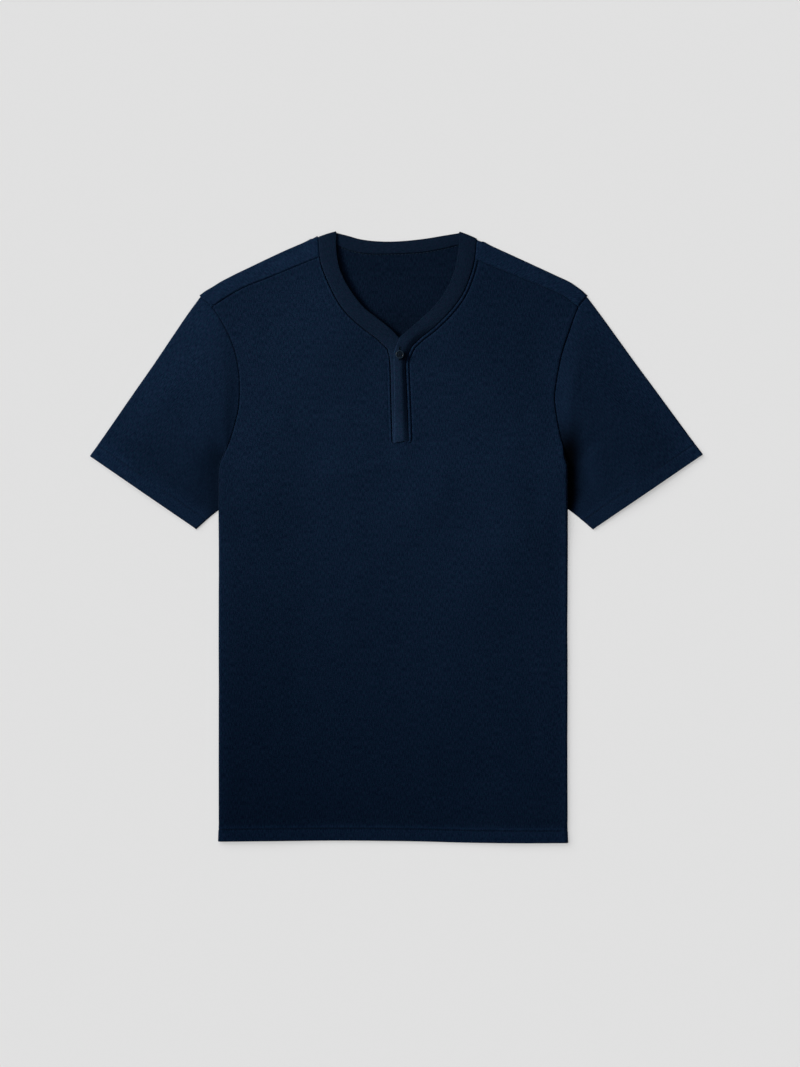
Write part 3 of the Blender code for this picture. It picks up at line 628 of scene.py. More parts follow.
def is_inside(points, outline):
    """Whether each point is inside an outline: it then crosses it an odd number of times."""
    odd = np.zeros(len(points), bool)
    x, y = points.T
    for (x0, y0), (x1, y1) in zip(outline, np.roll(outline, -1, axis=0)):
        spans = (y0 > y) != (y1 > y)
        odd[spans] ^= x[spans] < x0 + (x1 - x0) * (y[spans] - y0) / (y1 - y0)
    return odd


def triangles_inside(outline, inner):
    """Joins the points inside the outline to triangles."""
    points = [Vector(point) for point in np.vstack([outline, inner])]
    edges = [(index, (index + 1) % len(outline)) for index in range(len(outline))]
    made = geometry.delaunay_2d_cdt(points, edges, [], 0, 1e-4, False)
    corners, faces = np.array(made[0]), np.array(made[2])
    faces = faces[is_inside(corners[faces].mean(axis=1), outline)]
    return corners, faces.tolist()


def fold_columns(radius):
    """x of the close columns round both side folds."""
    columns = []
    for side in SIDES:
        turn = np.linspace(-1.5, math.pi * radius + 1.5, 15)
        columns += list(side.sign * (fold_axis(side) + turn))
    return np.array(sorted(columns))


print("close columns round a fold:", np.round(fold_columns(FRONT_RADIUS)[:4], 1), "mm")

# %% [markdown]
# ## From points to cloth
# A sheet of cloth is a plain mesh with a few extras. Its grain is a UV map in metres, so that
# the knit follows the cut piece and not the table. Its painted light and shade is a value at
# each point. One modifier gives it a wall, thicker at a hem, and a second one softens the cut
# edges.

# %% A sheet of cloth
def metres(points):
    return (np.asarray(points) - (CENTRE_X, CENTRE_Y, 0)) * MM


def mesh_object(name, points, faces, material, grain=None, painted_shading=None):
    """A smooth mesh object; a cloth one has its grain as a UV map and its painted shading as a
    value.
    """
    data = bpy.data.meshes.new(name)
    data.from_pydata(points.tolist(), [], faces)
    data.shade_smooth()
    data.materials.append(material)
    if grain is not None:
        corners = np.empty(len(data.loops), np.int32)
        data.loops.foreach_get("vertex_index", corners)
        layer = data.uv_layers.new(name="grain")
        layer.data.foreach_set("uv", (grain[corners] * MM).ravel())
        # painted light and shade, one value a point, which scales the cloth's colour
        painted_light_and_shade = data.attributes.new("painted_shading", "FLOAT", "POINT")
        painted_light_and_shade.data.foreach_set("value", painted_shading.astype(np.float32))
    made = bpy.data.objects.new(name, data)
    bpy.context.scene.collection.objects.link(made)
    return made


def sheet_object(name, laid, faces, grain, thick, painted_shading):
    """A sheet of jersey on the table, with a wall and soft edges."""
    laid[:, 2] = np.maximum(laid[:, 2], thick / 2)
    made = mesh_object(name, metres(laid), faces, JERSEY, grain, painted_shading)
    group = made.vertex_groups.new(name="thickness")
    for index, share in enumerate(thick / HEM_WALL):
        group.add([index], float(share), "REPLACE")
    wall = made.modifiers.new("wall", "SOLIDIFY")
    wall.thickness = HEM_WALL * MM
    wall.offset = 0
    wall.use_quality_normals = True
    wall.vertex_group = "thickness"
    soft = made.modifiers.new("soft_edges", "BEVEL")
    soft.width = 0.3 * MM
    soft.segments = 2
    soft.limit_method = "ANGLE"
    soft.angle_limit = math.radians(50)
    print(name, len(faces), "faces before its wall")
    return made


print("a hem is", HEM_WALL, "mm thick and one layer is", WALL, "mm")

# %% [markdown]
# ## Shader sums
# A knit is drawn from noise and waves, so its material is mostly arithmetic. One small class
# wraps a socket, and its operators add the maths nodes, so a pattern reads like a formula.

# %% A class for shader sums
class Amount:
    """A number socket of a material, which takes part in sums."""

    def __init__(self, finish, socket):
        self.finish = finish
        self.socket = socket

    def maths(self, operation, other=0.0):
        made = self.finish.node("Math", {"operation": operation}, {0: self, 1: other})
        return Amount(self.finish, made.outputs[0])

    def __add__(self, other):
        return self.maths("ADD", other)

    def __sub__(self, other):
        return self.maths("SUBTRACT", other)

    def __mul__(self, other):
        return self.maths("MULTIPLY", other)

    def sine(self):
        return self.maths("SINE")

    def size(self):
        return self.maths("ABSOLUTE")

    def within(self, low, high):
        """0 below low and 1 above high."""
        made = self.finish.node("MapRange", {"interpolation_type": "SMOOTHSTEP"},
                                {"Value": self, "From Min": low, "From Max": high})
        return Amount(self.finish, made.outputs[0])


class Finish:
    """A material, with one method that adds any node to it."""

    def __init__(self, name):
        self.material = bpy.data.materials.new(name)
        self.material.use_nodes = True
        self.tree = self.material.node_tree
        self.shader = self.tree.nodes["Principled BSDF"]

    def node(self, kind, settings=None, sockets=None):
        made = self.tree.nodes.new("ShaderNode" + kind)
        for name, value in (settings or {}).items():
            setattr(made, name, value)
        for name, value in (sockets or {}).items():
            self.join(made.inputs[name], value)
        return made

    def join(self, socket, value):
        if isinstance(value, Amount):
            value = value.socket
        if isinstance(value, bpy.types.NodeSocket):
            self.tree.links.new(value, socket)
        else:
            socket.default_value = value

    def set(self, **sockets):
        for name, value in sockets.items():
            self.join(self.shader.inputs[name.replace("_", " ")], value)

    def grain(self, across, along):
        """The cloth's own coordinates, in these many units to a metre."""
        lines = self.node("UVMap", {"uv_map": "grain"})
        scaled = self.node("VectorMath", {"operation": "MULTIPLY"},
                           {0: lines.outputs[0], 1: (across, along, 1)})
        return scaled.outputs[0]

    def noise(self, place, detail, rough=0.5, scale=1.0):
        made = self.node("TexNoise", {}, {"Vector": place, "Scale": scale, "Detail": detail,
                                          "Roughness": rough})
        return Amount(self, made.outputs["Fac"])

    def blend(self, share, first, second, how="MIX"):
        """One colour turning into another."""
        made = self.node("Mix", {"data_type": "RGBA", "blend_type": how},
                         {0: share, 6: first, 7: second})
        return made.outputs[2]

    def bump(self, height, distance, strength):
        made = self.node("Bump", {}, {"Height": height, "Distance": distance,
                                      "Strength": strength})
        return made.outputs[0]


print("shader sums are ready")

# %% [markdown]
# ## Jersey
# The shirt is cut from a navy melange jersey: fibres of a few close blues are spun together,
# so the face shows fine upright streaks and flecks. The knit itself is tiny, with columns
# 0.9 mm apart, and it is drawn as a bump, because it would be far too fine to model. Cloth
# scatters light and has a soft sheen at a grazing angle, so the shader's plain gloss is low.
# Each piece of cloth also carries a painted light and shade value: painted highlights make lit
# folds, ridges, cuffs and yokes paler, painted shade darkens grooves, the crook of each arm and
# the inside of the neck, and the hem and the placket are a little paler too.

# %% The jersey's finish
KNIT_COLUMN, KNIT_ROW = 0.0009, 0.0012


def jersey_finish(name, dark, light, streak=1.0):
    made = Finish(name)
    streaks = made.noise(made.grain(1250, 190), 2.0, 0.6) - 0.5
    flecks = made.noise(made.grain(1150, 800), 3.0, 0.7) - 0.5
    clouds = made.noise(made.grain(60, 36), 3.0, 0.6) - 0.5
    hues = made.noise(made.grain(420, 300), 3.0, 0.8)
    lines = made.grain(2 * math.pi / KNIT_COLUMN, 2 * math.pi / KNIT_ROW)
    parts = made.node("SeparateXYZ", {}, {0: lines})
    column, row = (Amount(made, parts.outputs[index]) for index in (0, 1))
    rib = (column * 0.5).sine().size()
    knit = rib * 0.6 + (row + rib * 2.2).sine() * 0.25
    share = streaks * (3.2 * streak) + flecks * 2.8 + clouds * 0.35
    cloth = made.blend((share + 0.5).within(0.0, 1.0), (*dark, 1), (*light, 1))
    tint = made.blend(hues.within(0.34, 0.66), (1.28, 0.92, 1.03, 1), (0.72, 1.07, 0.98, 1))
    dyed = made.blend(1.0, cloth, tint, "MULTIPLY")
    # painted light and shade: the colour is scaled by one plus the painted value
    painted_shading = Amount(made, made.node("Attribute", {"attribute_name": "painted_shading"}).outputs["Fac"])
    painted_light_and_shade = made.node("VectorMath", {"operation": "SCALE"}, {0: dyed, "Scale": painted_shading + 1.0})
    height = knit * 0.16 + streaks * 0.8 + flecks * 0.7
    made.set(Base_Color=painted_light_and_shade.outputs[0], Normal=made.bump(height, 0.00022, 0.8))
    made.set(Roughness=0.92, Specular_IOR_Level=0.02)
    made.set(Sheen_Weight=0.15, Sheen_Roughness=0.28, Sheen_Tint=(0.55, 0.72, 1.0, 1))
    return made.material


JERSEY = jersey_finish("navy_jersey", (0.0019, 0.0067, 0.0198), (0.0063, 0.0162, 0.0398))
BAND = jersey_finish("navy_band", (0.0027, 0.0073, 0.0190), (0.0068, 0.0150, 0.0340), 0.6)
print("jersey and band finishes are made")

# %% [markdown]
# ## Thread and button plastic
# The thread is a shade lighter than the cloth and a little shinier, as polyester thread is.
# The button is satin navy plastic with a faint cloudiness, and its rim has a painted highlight.

# %% Thread and plastic
def plain_finish(name, dark, light, roughness, gloss, scale):
    made = Finish(name)
    share = made.noise(made.node("TexCoord").outputs["Object"], 3.0, 0.5, scale)
    made.set(Base_Color=made.blend(share, (*dark, 1), (*light, 1)),
             Roughness=(share - 0.5) * 0.2 + roughness, Specular_IOR_Level=gloss,
             Normal=made.bump(share, 0.00005, 0.5))
    return made.material


THREAD, PALE_THREAD, SLIT_SHADE, PLASTIC, RIM_HIGHLIGHT = (plain_finish(*row) for row in (
    ("navy_thread", (0.0034, 0.0090, 0.0210), (0.0058, 0.0136, 0.0290), 0.8, 0.05, 2500.0),
    ("pale_thread", (0.0105, 0.0215, 0.0400), (0.0150, 0.0280, 0.0500), 0.8, 0.05, 2500.0),
    # near-black, for painted shade in the open buttonhole slit
    ("painted_slit_shade", (0.0004, 0.0010, 0.0026), (0.0008, 0.0018, 0.0040), 0.9, 0.0, 2500.0),
    ("navy_plastic", (0.0018, 0.0046, 0.0100), (0.0030, 0.0068, 0.0140), 0.26, 0.22, 420.0),
    # paler, for the painted highlight on the button's rim
    ("painted_highlight_rim", (0.0080, 0.0180, 0.0320), (0.0120, 0.0240, 0.0420), 0.42, 0.12, 420.0),
))
print("thread and plastic finishes are made")

# %% [markdown]
# ## Relief beside the seams
# Where two pieces are sewn, both roll down into the seam, and the seam allowance underneath
# makes a low ridge beside it. Along the neck the front's own edge is pressed to a narrow
# ridge. At a hem the cloth is double, with a groove where the needle pulls it in. Each ridge
# or groove is a row of three numbers: its distance from the seam, its width and its height.

# %% Ridges, gathers and hems
HEM_DEPTH, HEM_STEP, HEM_ROLL = 14.1, 0.30, 0.5
STITCH_BACK = 0.2  # the stitches lie this far below the hem's upper edge


def ridge(away, middle, width, height):
    return height * bell(away - middle, width)


def pucker(along, seed, pitch, height):
    """Small uneven gathers along a seam."""
    rng = np.random.RandomState(seed)
    wave = np.zeros_like(along)
    for share in (1.0, 0.63, 1.7):
        wave += np.sin(2 * math.pi * along / (pitch * share) + rng.uniform(0, 6)) / 3
    return height * wave


def seam_relief(points, line, rows, seed, pitch, gathers=0.05, reach=9):
    """The ridges and the gathers beside one seam."""
    away, along = from_line(points, line)
    relief = sum(ridge(away, *row) for row in rows)
    return relief + pucker(along, seed, pitch, gathers) * (1 - ease(2, reach, away))


def above_hem(points, setback=0.0):
    return points[:, 1] - hem_height(points[:, 0]) - setback


def hem_relief(above, depth=HEM_DEPTH):
    """Height of the doubled hem, with the groove of its stitches."""
    step = HEM_STEP * (1 - ease(depth, depth + 3, above)) + HEM_ROLL * (1 - ease(0, depth, above))
    return (step + ridge(above, depth - STITCH_BACK, 0.9, -0.42)
            + ridge(above, depth + 2.6, 1.6, 0.16))


def hem_thickness(above, depth=HEM_DEPTH):
    return HEM_WALL - (HEM_WALL - WALL) * ease(depth - 0.5, depth + 1.5, above)


def hem_line_painted_shading(above, depth):
    """Painted shade in the stitches' groove and a painted highlight on the ridge above it."""
    return ridge(above, depth + 2.2, 1.2, 0.3) + ridge(above, depth - STITCH_BACK, 0.8, -0.6)


print("a hem rises", round(float(hem_relief(np.array(0.0))), 2), "mm at its edge")

# %% [markdown]
# The front is the piece with most relief, so its seams are described one by one. The wearer's
# left side of the neck is pressed harder than the right, as the placket closes over it.

# %% Relief and tone of the front
NECK_RIDGES = {"left": ((2.1, 0.95, 0.62), (4.15, 0.75, -0.80)),
               "right": ((1.5, 0.85, 0.50), (3.4, 0.9, -0.25))}
NECK_ROLL = {"left": 1.0, "right": 0.9}
ARM_RIDGES = {"left": ((0.0, 0.6, -1.0), (3.6, 2.4, 0.22)), "right": ((0.0, 1.2, -0.8),)}
SHOULDER_RIDGES = ((0.0, 0.8, -0.9), (3.0, 2.0, 0.14))
# widths of the painted sheen along each side fold, wider on the lit side
FOLD_SHEEN_WIDTH = {"left": 7.0, "right": 11.0}


def neck_relief(pattern):
    """The pressed ridge beside the neckband and the placket, and the grooves beside it."""
    relief = np.zeros(len(pattern))
    for side, neck in zip((LEFT, RIGHT), neck_edges()):
        away, along = from_line(pattern, neck)
        rolled = sum(ridge(away, *row) for row in NECK_RIDGES[side.name])
        rolled -= 1 - ease(0, NECK_ROLL[side.name], away)
        if side is RIGHT:
            rolled *= 1 - ridge(pattern[:, 1], 557.0, 7.0, 0.9)
        relief += rolled + pucker(along, 3, 11, 0.05) * (1 - ease(2, 9, away))
    return relief * ease(0, 4, pattern[:, 1] - PLACKET_BOTTOM + 2)


def front_relief(pattern, laid):
    x, y = laid[:, 0], laid[:, 1]
    above = above_hem(pattern)
    relief = 0.1 + swell_height(x, y, FRONT_SOFT) + crease_height(x, y, FRONT_CREASES)
    relief += 0.04 * mottle(x, y, 5, 150, 34)
    relief *= ease(0, 14, above - HEM_DEPTH)
    relief += neck_relief(pattern) + hem_relief(above)
    relief += pucker(pattern[:, 0], 17, 21, 0.05) * (1 - ease(14, 26, above))
    for side in SIDES:
        arm, shoulder = armhole(side, FRONT_RADIUS), curve(SHOULDER_SEAM[side.name], 4)
        relief += seam_relief(pattern, arm, ARM_RIDGES[side.name], 11, 17, 0.06, 10)
        relief += seam_relief(pattern, shoulder, SHOULDER_RIDGES, 13, 15)
    return relief


def front_painted_shading(pattern, laid):
    """Paler hem; painted sheen on the side folds, painted shade by the armpits and in the seams.
    """
    above = above_hem(pattern)
    # the hem is paler, and its stitch line has painted shade and a painted highlight
    painted_shading = 0.28 * (1 - ease(HEM_DEPTH, HEM_DEPTH + 6, above)) + hem_line_painted_shading(above, HEM_DEPTH)
    for side in SIDES:
        inward = side.edge - side.sign * laid[:, 0]
        high = ease(340, 400, laid[:, 1])
        # painted sheen: the side folds are paler low down
        painted_shading += 0.28 * (1 - high) * bell(inward, FOLD_SHEEN_WIDTH[side.name])
        # painted shade on the side folds beside the armpits
        painted_shading -= 0.45 * high * bell(inward, 2.2) * (laid[:, 1] < 450)
        # painted shade in the armhole seams' grooves
        painted_shading -= 0.75 * bell(from_line(laid, curve(ARMHOLE[side.name], 1.0))[0], 0.8)
    for edge in neck_edges():
        # painted shade in the grooves beside the neckband and the placket
        painted_shading -= 0.7 * bell(from_line(laid, edge)[0], 0.7)
    return painted_shading


print("ridges beside the neck:", NECK_RIDGES)

# %% [markdown]
# ## The front panel
# The pattern is filled with points and laid. Then each point moves along the cloth's own
# normal by the relief above, so that the ridges also follow the cloth round its folds.

# %% Make the front
RINGS = (0.35, 0.8, 1.3, 1.8, 2.4, 3.0, 3.6, 4.2, 4.9, 5.8, 7.2)
HEM_ROWS = HEM_DEPTH + np.array((-1.4, -0.8, -0.2, 0.4, 1.1, 2.2, 3.6))


def hem_lines(outline, setback, spacing):
    """Lines of points along the hem's stitches."""
    across = np.arange(outline[:, 0].min() + 4, outline[:, 0].max() - 4, spacing)
    return [np.column_stack([across, hem_height(across) + setback + row]) for row in HEM_ROWS]


def make_front():
    outline = without_close(divided(FRONT_OUTLINE, 2.6), 0.12)
    lines = hem_lines(outline, 0, 2.6)
    inner = panel_points(outline, RINGS, 3.4, fold_columns(FRONT_RADIUS), lines)
    pattern, faces = triangles_inside(outline, inner)
    laid, _ = lay_front(pattern)
    laid += front_relief(pattern, laid)[:, None] * outward(pattern, lay_front, 1)
    return sheet_object("shirt_front", laid, faces, pattern, hem_thickness(above_hem(pattern)),
                        front_painted_shading(pattern, laid))


shirt_front = make_front()

# %% [markdown]
# ## The back panel
# The back lies face down on the table. Its yokes come over the shoulders, so the same piece
# shows its outside there and its inside in the neck. The relief is small: a hem, the rolls at
# its seams, and on its hidden face a few low swells that never go below the table. The yokes
# are painted paler, as painted light, and the inside of the neck is painted darker, as painted
# shade.

# %% Make the back
BACK_CREASES = (
    (-60, 640, -30, 610, 0, 585, 9.0, -0.35),
    (50, 650, 34, 622, 12, 600, 8.0, -0.30),
    (-20, 660, -6, 640, 10, 622, 8.0, -0.25),
    (-140, 420, -120, 360, -126, 300, 12.0, -0.35),
    (130, 380, 112, 330, 120, 270, 12.0, -0.30),
    (-40, 200, 10, 190, 60, 204, 14.0, -0.35),
    (-90, 90, -60, 70, -10, 66, 12.0, -0.30),
)
YOKE_RIDGES = ((0.0, 0.8, -0.9), (1.9, 1.0, 0.35), (7.0, 7.0, 0.9))
UP, DOWN = (0.0, 0.0, 1.0), (0.0, 0.0, -1.0)


def shoulder_lines():
    """Close lines of pattern points round both shoulder folds."""
    lines = []
    for side in SIDES:
        line, up = shoulder_base(side)
        inside = (side.sign * line[:, 0] > 60) & (line[:, 1] > 600)
        for height in np.linspace(-0.8, math.pi * SHOULDER_RADIUS + 0.8, 9):
            lines.append((line + height * up)[inside][::5])
    return lines


def back_relief(pattern, laid, wall):
    x, y, z = laid.T
    inside = (z < 1.2) & (pattern[:, 1] < 700)
    relief = 0.1 + np.where(inside, crease_height(x, y, BACK_CREASES), 0)
    for side in SIDES:
        relief += seam_relief(pattern, yoke_edge(side), YOKE_RIDGES, 23, 14)
        on_yoke = (side.sign * x > 60) & (z > 1.9) & (y > 600)
        relief += np.where(on_yoke, 0.05 * mottle(x, y, 29, 60, 18), 0)
    return relief - (wall - WALL) / 2


def back_painted_shading(x, y, z):
    # painted light on the yokes, painted shade on the rest of the back, seen inside the neck
    painted_shading = np.where((z > 1.6) & (y > 600), 0.30, -0.32)
    # painted shadow under the back of the neckband
    painted_shading -= 0.6 * bell(from_line(np.column_stack([x, y]), smooth(BACK_BAND_SEAM))[0], 0.6)
    # painted shade low in the neck opening, above the V
    return painted_shading - 0.18 * bell(x, 40) * bell(y - 590, 22)


def make_back():
    outline = without_close(divided(BACK_OUTLINE, 3.0), 0.12)
    lines = hem_lines(outline, HEM_SETBACK, 3.4)[::2] + shoulder_lines()
    inner = panel_points(outline, RINGS[1::2], 4.6, fold_columns(BACK_RADIUS), lines)
    pattern, faces = triangles_inside(outline, inner)
    laid, _ = lay_back(pattern)
    normal = outward(pattern, lay_back, -1)
    normal[(laid[:, 2] > 2.5) & (normal[:, 2] < 0.5)] = UP
    wall = hem_thickness(above_hem(pattern, HEM_SETBACK))
    laid += back_relief(pattern, laid, wall)[:, None] * normal
    return sheet_object("shirt_back", laid, [face[::-1] for face in faces], pattern, wall,
                        back_painted_shading(*laid.T))


shirt_back = make_back()

# %% [markdown]
# ## Sleeves
# A sleeve is one piece, closed under the arm, so it lies as a flattened tube: the top layer,
# the underarm fold, the bottom layer and the overarm fold. First come its two edges at the
# armhole, which follow the laid front and back, and the fold between two layers.

# %% Edges and folds of a sleeve
SLEEVE_ACROSS, SLEEVE_FOLD_STEPS = 84, 8
FOLD_EASE, TURN_SHARE = 0.9, 0.78


def top_of_sleeve(side):
    """Laid points of the sleeve's front edge, along the armhole seam."""
    seam = armhole(side, FRONT_RADIUS)
    _, turned = lay_front(seam)
    wider = SEWN_GAP + FOLD_EASE * ease(0, math.pi / 5, turned)
    laid, turned = lay_front(seam + side.sign * wider[:, None] * normals(seam))
    laid[:, 2] -= LAYER * ease(math.pi / 2, math.pi * 0.95, turned)
    laid[turned > math.pi * 0.99, 2] = GROUND + LAYER
    return laid


def bottom_of_sleeve(side):
    """The same for its back edge, which stays on the table."""
    seam = offset(armhole(side, BACK_RADIUS, BACK_SHALLOWER), side.sign * SEWN_GAP)
    laid, _ = tuck_sides(seam, BACK_RADIUS, back_rest)
    laid[:, 2] = GROUND
    return laid


def closer_at_fold(points, count):
    """The same curve again, with its points closest where the armhole turns under."""
    steps = np.linspace(0, 1, 600)
    weight = np.cumsum(1 + 3 * bell(steps - TURN_SHARE, 0.1))
    return at_shares(points, np.interp(np.linspace(weight[0], weight[-1], count), weight, steps))


def fold_arc(start, end, out):
    """Points between two layers, round the fold that joins them."""
    radius = abs(start[2] - end[2]) / 2
    middle = (start + end) / 2
    turn = np.linspace(0, math.pi, SLEEVE_FOLD_STEPS + 1)[1:-1, None]
    return middle + np.cos(turn) * (start - middle) + np.sin(turn) * radius * np.array((*out, 0))


for side in SIDES:
    print(side.name, "armhole edge has", len(top_of_sleeve(side)), "points")

# %% [markdown]
# The top layer puffs up softly, with drag lines from the armpit. It meets the armhole seam in
# a groove and ends in a hem. Deep in the crook beside the body hardly any light arrives.

# %% Height, relief and tone of a sleeve
CUFF_DEPTH, SLEEVE_PUFF, CUFF_FLATTER = 15.5, 4.2, 0.35
SLEEVE_FALL, STEEP_FALL = 26.0, 1.4
SLEEVE_CREASES = {
    "right": (
        (-206, 450, -232, 462, -262, 452, 8.0, 0.55),
        (-205, 428, -236, 424, -262, 400, 9.0, -0.60),
        (-222, 520, -240, 494, -248, 462, 11.0, -0.45),
        (-262, 540, -280, 500, -300, 470, 12.0, 0.40),
        (-214, 404, -232, 394, -250, 380, 6.0, 0.40),
    ),
    "left": (
        (196, 470, 216, 456, 236, 420, 8.0, 0.60),
        (194, 440, 212, 424, 226, 396, 8.0, -0.55),
        (206, 540, 226, 500, 246, 470, 12.0, -0.50),
        (256, 520, 276, 484, 292, 452, 12.0, 0.45),
        (262, 440, 276, 424, 288, 408, 9.0, 0.35),
    ),
}
ARMPIT_SWELL = ((-229, 434, 36, 17, 80, 3.0),)
# painted light at the overarm fold and the cuff, painted shade in the crook beside the body
SLEEVE_PAINTED_SHADING = {  # overarm, cuff, shade, its width low down and high up, where it ends
    "right": (1.6, 0.40, 0.35, 12, 12, 437, 459),
    "left": (1.0, 0.10, 0.95, 5, 15, 444, 496),
}


def sleeve_height(plan, edge, share, out):
    """Height of a sleeve's top layer: a soft puff that meets the armhole seam."""
    rest = FRONT_REST + (GROUND + LAYER - FRONT_REST) * share
    puff = SLEEVE_PUFF * np.sin(math.pi * share) ** 1.5 * (1 - over_sleeve(*plan.T))
    run = np.linalg.norm(plan - edge[:, :2], axis=1)
    fall = SLEEVE_FALL + (STEEP_FALL - SLEEVE_FALL) * ease(0.5, 0.72, share)
    near = 1 - ease(0, 1, run / fall)
    return rest + puff * (1 - CUFF_FLATTER * out) * (1 - near) + (edge[:, 2] - rest) * near


def sleeve_relief(side, plan, away, from_cuff, share):
    relief = 0.1 + hem_relief(from_cuff, CUFF_DEPTH)
    relief += ease(0, 12, from_cuff - CUFF_DEPTH) * (
        crease_height(*plan.T, SLEEVE_CREASES[side.name])
        + 0.05 * mottle(*plan.T, 31 + side.sign, 90, 22))
    upper = bell(share - 0.24, 0.16)
    if side is RIGHT:
        relief += ridge(away, 0.0, 0.9, -1.0) - 0.5 * upper * bell(away, 4.5)
        return relief + swell_height(*plan.T, ARMPIT_SWELL)
    relief += ridge(away, 0.0, 1.3, -0.8) + ridge(away, 4.0, 2.0, 0.15) * (1 - upper)
    return relief - (0.2 + 0.6 * upper) * bell(away, 6.0)


def sleeve_painted_shading(side, plan, away, from_cuff, share):
    """Painted light at the overarm fold and the cuff; painted shade in the seam and the crook."""
    overarm, cuff, shade, narrow, wide, low, high = SLEEVE_PAINTED_SHADING[side.name]
    # painted light: the overarm fold and the cuff are paler, most on the lit sleeve
    painted_shading = 0.2 * overarm * bell(share, 0.12 * overarm) + cuff * (1 - ease(8, 34, from_cuff))
    # painted shade and highlight along the cuff's stitches, painted shade in the armhole seam
    painted_shading += 0.5 * hem_line_painted_shading(from_cuff, CUFF_DEPTH) - 0.75 * bell(away, 0.8) * (share < 0.93)
    x, y = plan.T
    wide = narrow + (wide - narrow) * ease(372, 400, y)
    # painted shade in the crook beside the body
    crook = bell(np.maximum(side.sign * x - side.edge, 0), wide, 3) * (1 - ease(low, high, y))
    return painted_shading * (1 - crook) - shade * crook


print("the shade beside the body ends at", [SLEEVE_PAINTED_SHADING[side.name][-1] for side in SIDES], "mm")

# %% [markdown]
# The tube is built as rings from the armhole to the cuff. They are closest together at the
# armhole and at the cuff's stitches, because the relief is there.

# %% Make the sleeves
SLEEVE_LONG, GRAIN_LONG = 210.0, 205.0
RING_SHARES = np.concatenate([
    (0, 0.003, 0.007, 0.012, 0.018, 0.026, 0.036, 0.05), np.linspace(0.07, 0.87, 38),
    1 - np.array((18, 16.8, 15.8, 15, 14.4, 13.8, 13, 11, 8, 5, 2.5, 1, 0)) / SLEEVE_LONG])


def sleeve_rings(side):
    """Points, wall, painted shading and grain of a sleeve, each with one row for each ring."""
    over, under = (at_shares(smooth(table[side.name], 30), RING_SHARES)
                   for table in (OVERARM, UNDERARM))
    over_out, under_out = side.sign * normals(over), -side.sign * normals(under)
    over -= (HALF_WALL + SHOULDER_RADIUS) * over_out
    under -= (HALF_WALL + LAYER / 2) * under_out
    sheets = []
    for edge in (top_of_sleeve(side), bottom_of_sleeve(side)):
        edge[-1, :2] = under[0]
        sheets.append(closer_at_fold(edge, SLEEVE_ACROSS))
    over[0] = sheets[0][0, :2]
    share = distance_along(sheets[0])[:, None]
    share /= share[-1]
    cuff = over[-1] + share * (under[-1] - over[-1])
    length = np.linalg.norm(cuff - sheets[0][:, :2], axis=1)
    share_row = share[:, 0]
    rows = []
    for out, shoulder, armpit, high, low in zip(RING_SHARES, over, under, over_out, under_out):
        bend = (1 - share) * (shoulder - (1 - out) * over[0] - out * over[-1])
        bend += share * (armpit - (1 - out) * under[0] - out * under[-1])
        front, back = ((1 - out) * sheet[:, :2] + out * cuff + bend for sheet in sheets)
        places = (side, front, out * length, (1 - out) * length, share_row)
        height = sleeve_height(front, sheets[0], share_row, out) + sleeve_relief(*places)
        wall = hem_thickness(places[3], CUFF_DEPTH)
        top = np.column_stack([front, height])
        bottom = np.column_stack([back, 0.02 + wall / 2])
        ring = np.vstack([top, fold_arc(top[-1], bottom[-1], low), bottom[::-1],
                          fold_arc(bottom[0], top[0], high)])
        painted_shading = np.zeros(len(ring))
        painted_shading[:SLEEVE_ACROSS] = sleeve_painted_shading(*places)
        painted_shading[1 - SLEEVE_FOLD_STEPS:] = painted_shading[0]
        grain = np.column_stack([distance_along(ring), np.full(len(ring), out * GRAIN_LONG)])
        rows.append((ring, np.full(len(ring), wall.mean()), painted_shading, grain))
    return [np.concatenate(part) for part in zip(*rows)]


def tube_faces(lines, count):
    """Faces of a tube through these many rings of points."""
    here = np.arange(count)
    after = np.roll(here, -1)
    ring = np.column_stack([here, after, after + count, here + count])
    return np.vstack([ring + line * count for line in range(lines - 1)])


def make_sleeve(side):
    points, wall, painted_shading, grain = sleeve_rings(side)
    count = len(points) // len(RING_SHARES)
    faces = tube_faces(len(RING_SHARES), count)[:, ::side.sign]
    made = sheet_object(f"sleeve_{side.name}_cloth", points, faces.tolist(), grain, wall, painted_shading)
    corners = faces.ravel()
    closing = np.repeat(np.arange(len(faces)) % count == count - 1, 4) & (corners % count == 0)
    corner_grain = grain[corners]
    corner_grain[closing, 0] = grain[corners[closing] + count - 1, 0] + 2.0
    made.data.uv_layers["grain"].data.foreach_set("uv", (corner_grain * MM).ravel())
    return made


sleeves = {side.name: make_sleeve(side) for side in SIDES}

# %% [markdown]
# ## Neckband and placket
# One strip of jersey is folded in half and sewn round the neck. It runs on down the front as
# the upper placket. A doubled strip has a round folded edge and a flatter sewn one, so its
# section is a closed loop of points, and the strip is that loop carried along the seam. The
# shorter under placket on the other side of the slit is made the same way.

# %% Strip helpers
PLACKET_FLAT, CROWN, DIMPLE = 0.60, 0.35, 0.9
BUTTON_SEAT = (0.4, 557.0)
Row = namedtuple("Row", "seam free seam_z free_z rise out thick")


def strip_section(width, thick):
    """Distances from the folded edge and heights, once round the doubled strip."""
    half = thick / 2
    turn = np.linspace(0, math.pi / 2, 6)
    flat = np.linspace(half + 0.5, width - 1.9, 8)
    across = np.concatenate([half * (1 - np.cos(turn)), flat,
                             width - np.array((1.3, 0.8, 0.4, 0.12, 0.0))])
    crown = CROWN * np.sin(math.pi * (flat - half) / (width - half)) * thick / BAND_WALL
    height = np.concatenate([half * np.sin(turn), half + crown,
                             half * np.array((1.03, 0.90, 0.66, 0.34, 0.0))])
    return (np.concatenate([across, across[-2:0:-1]]),
            np.concatenate([height, -height[-2:0:-1]]))


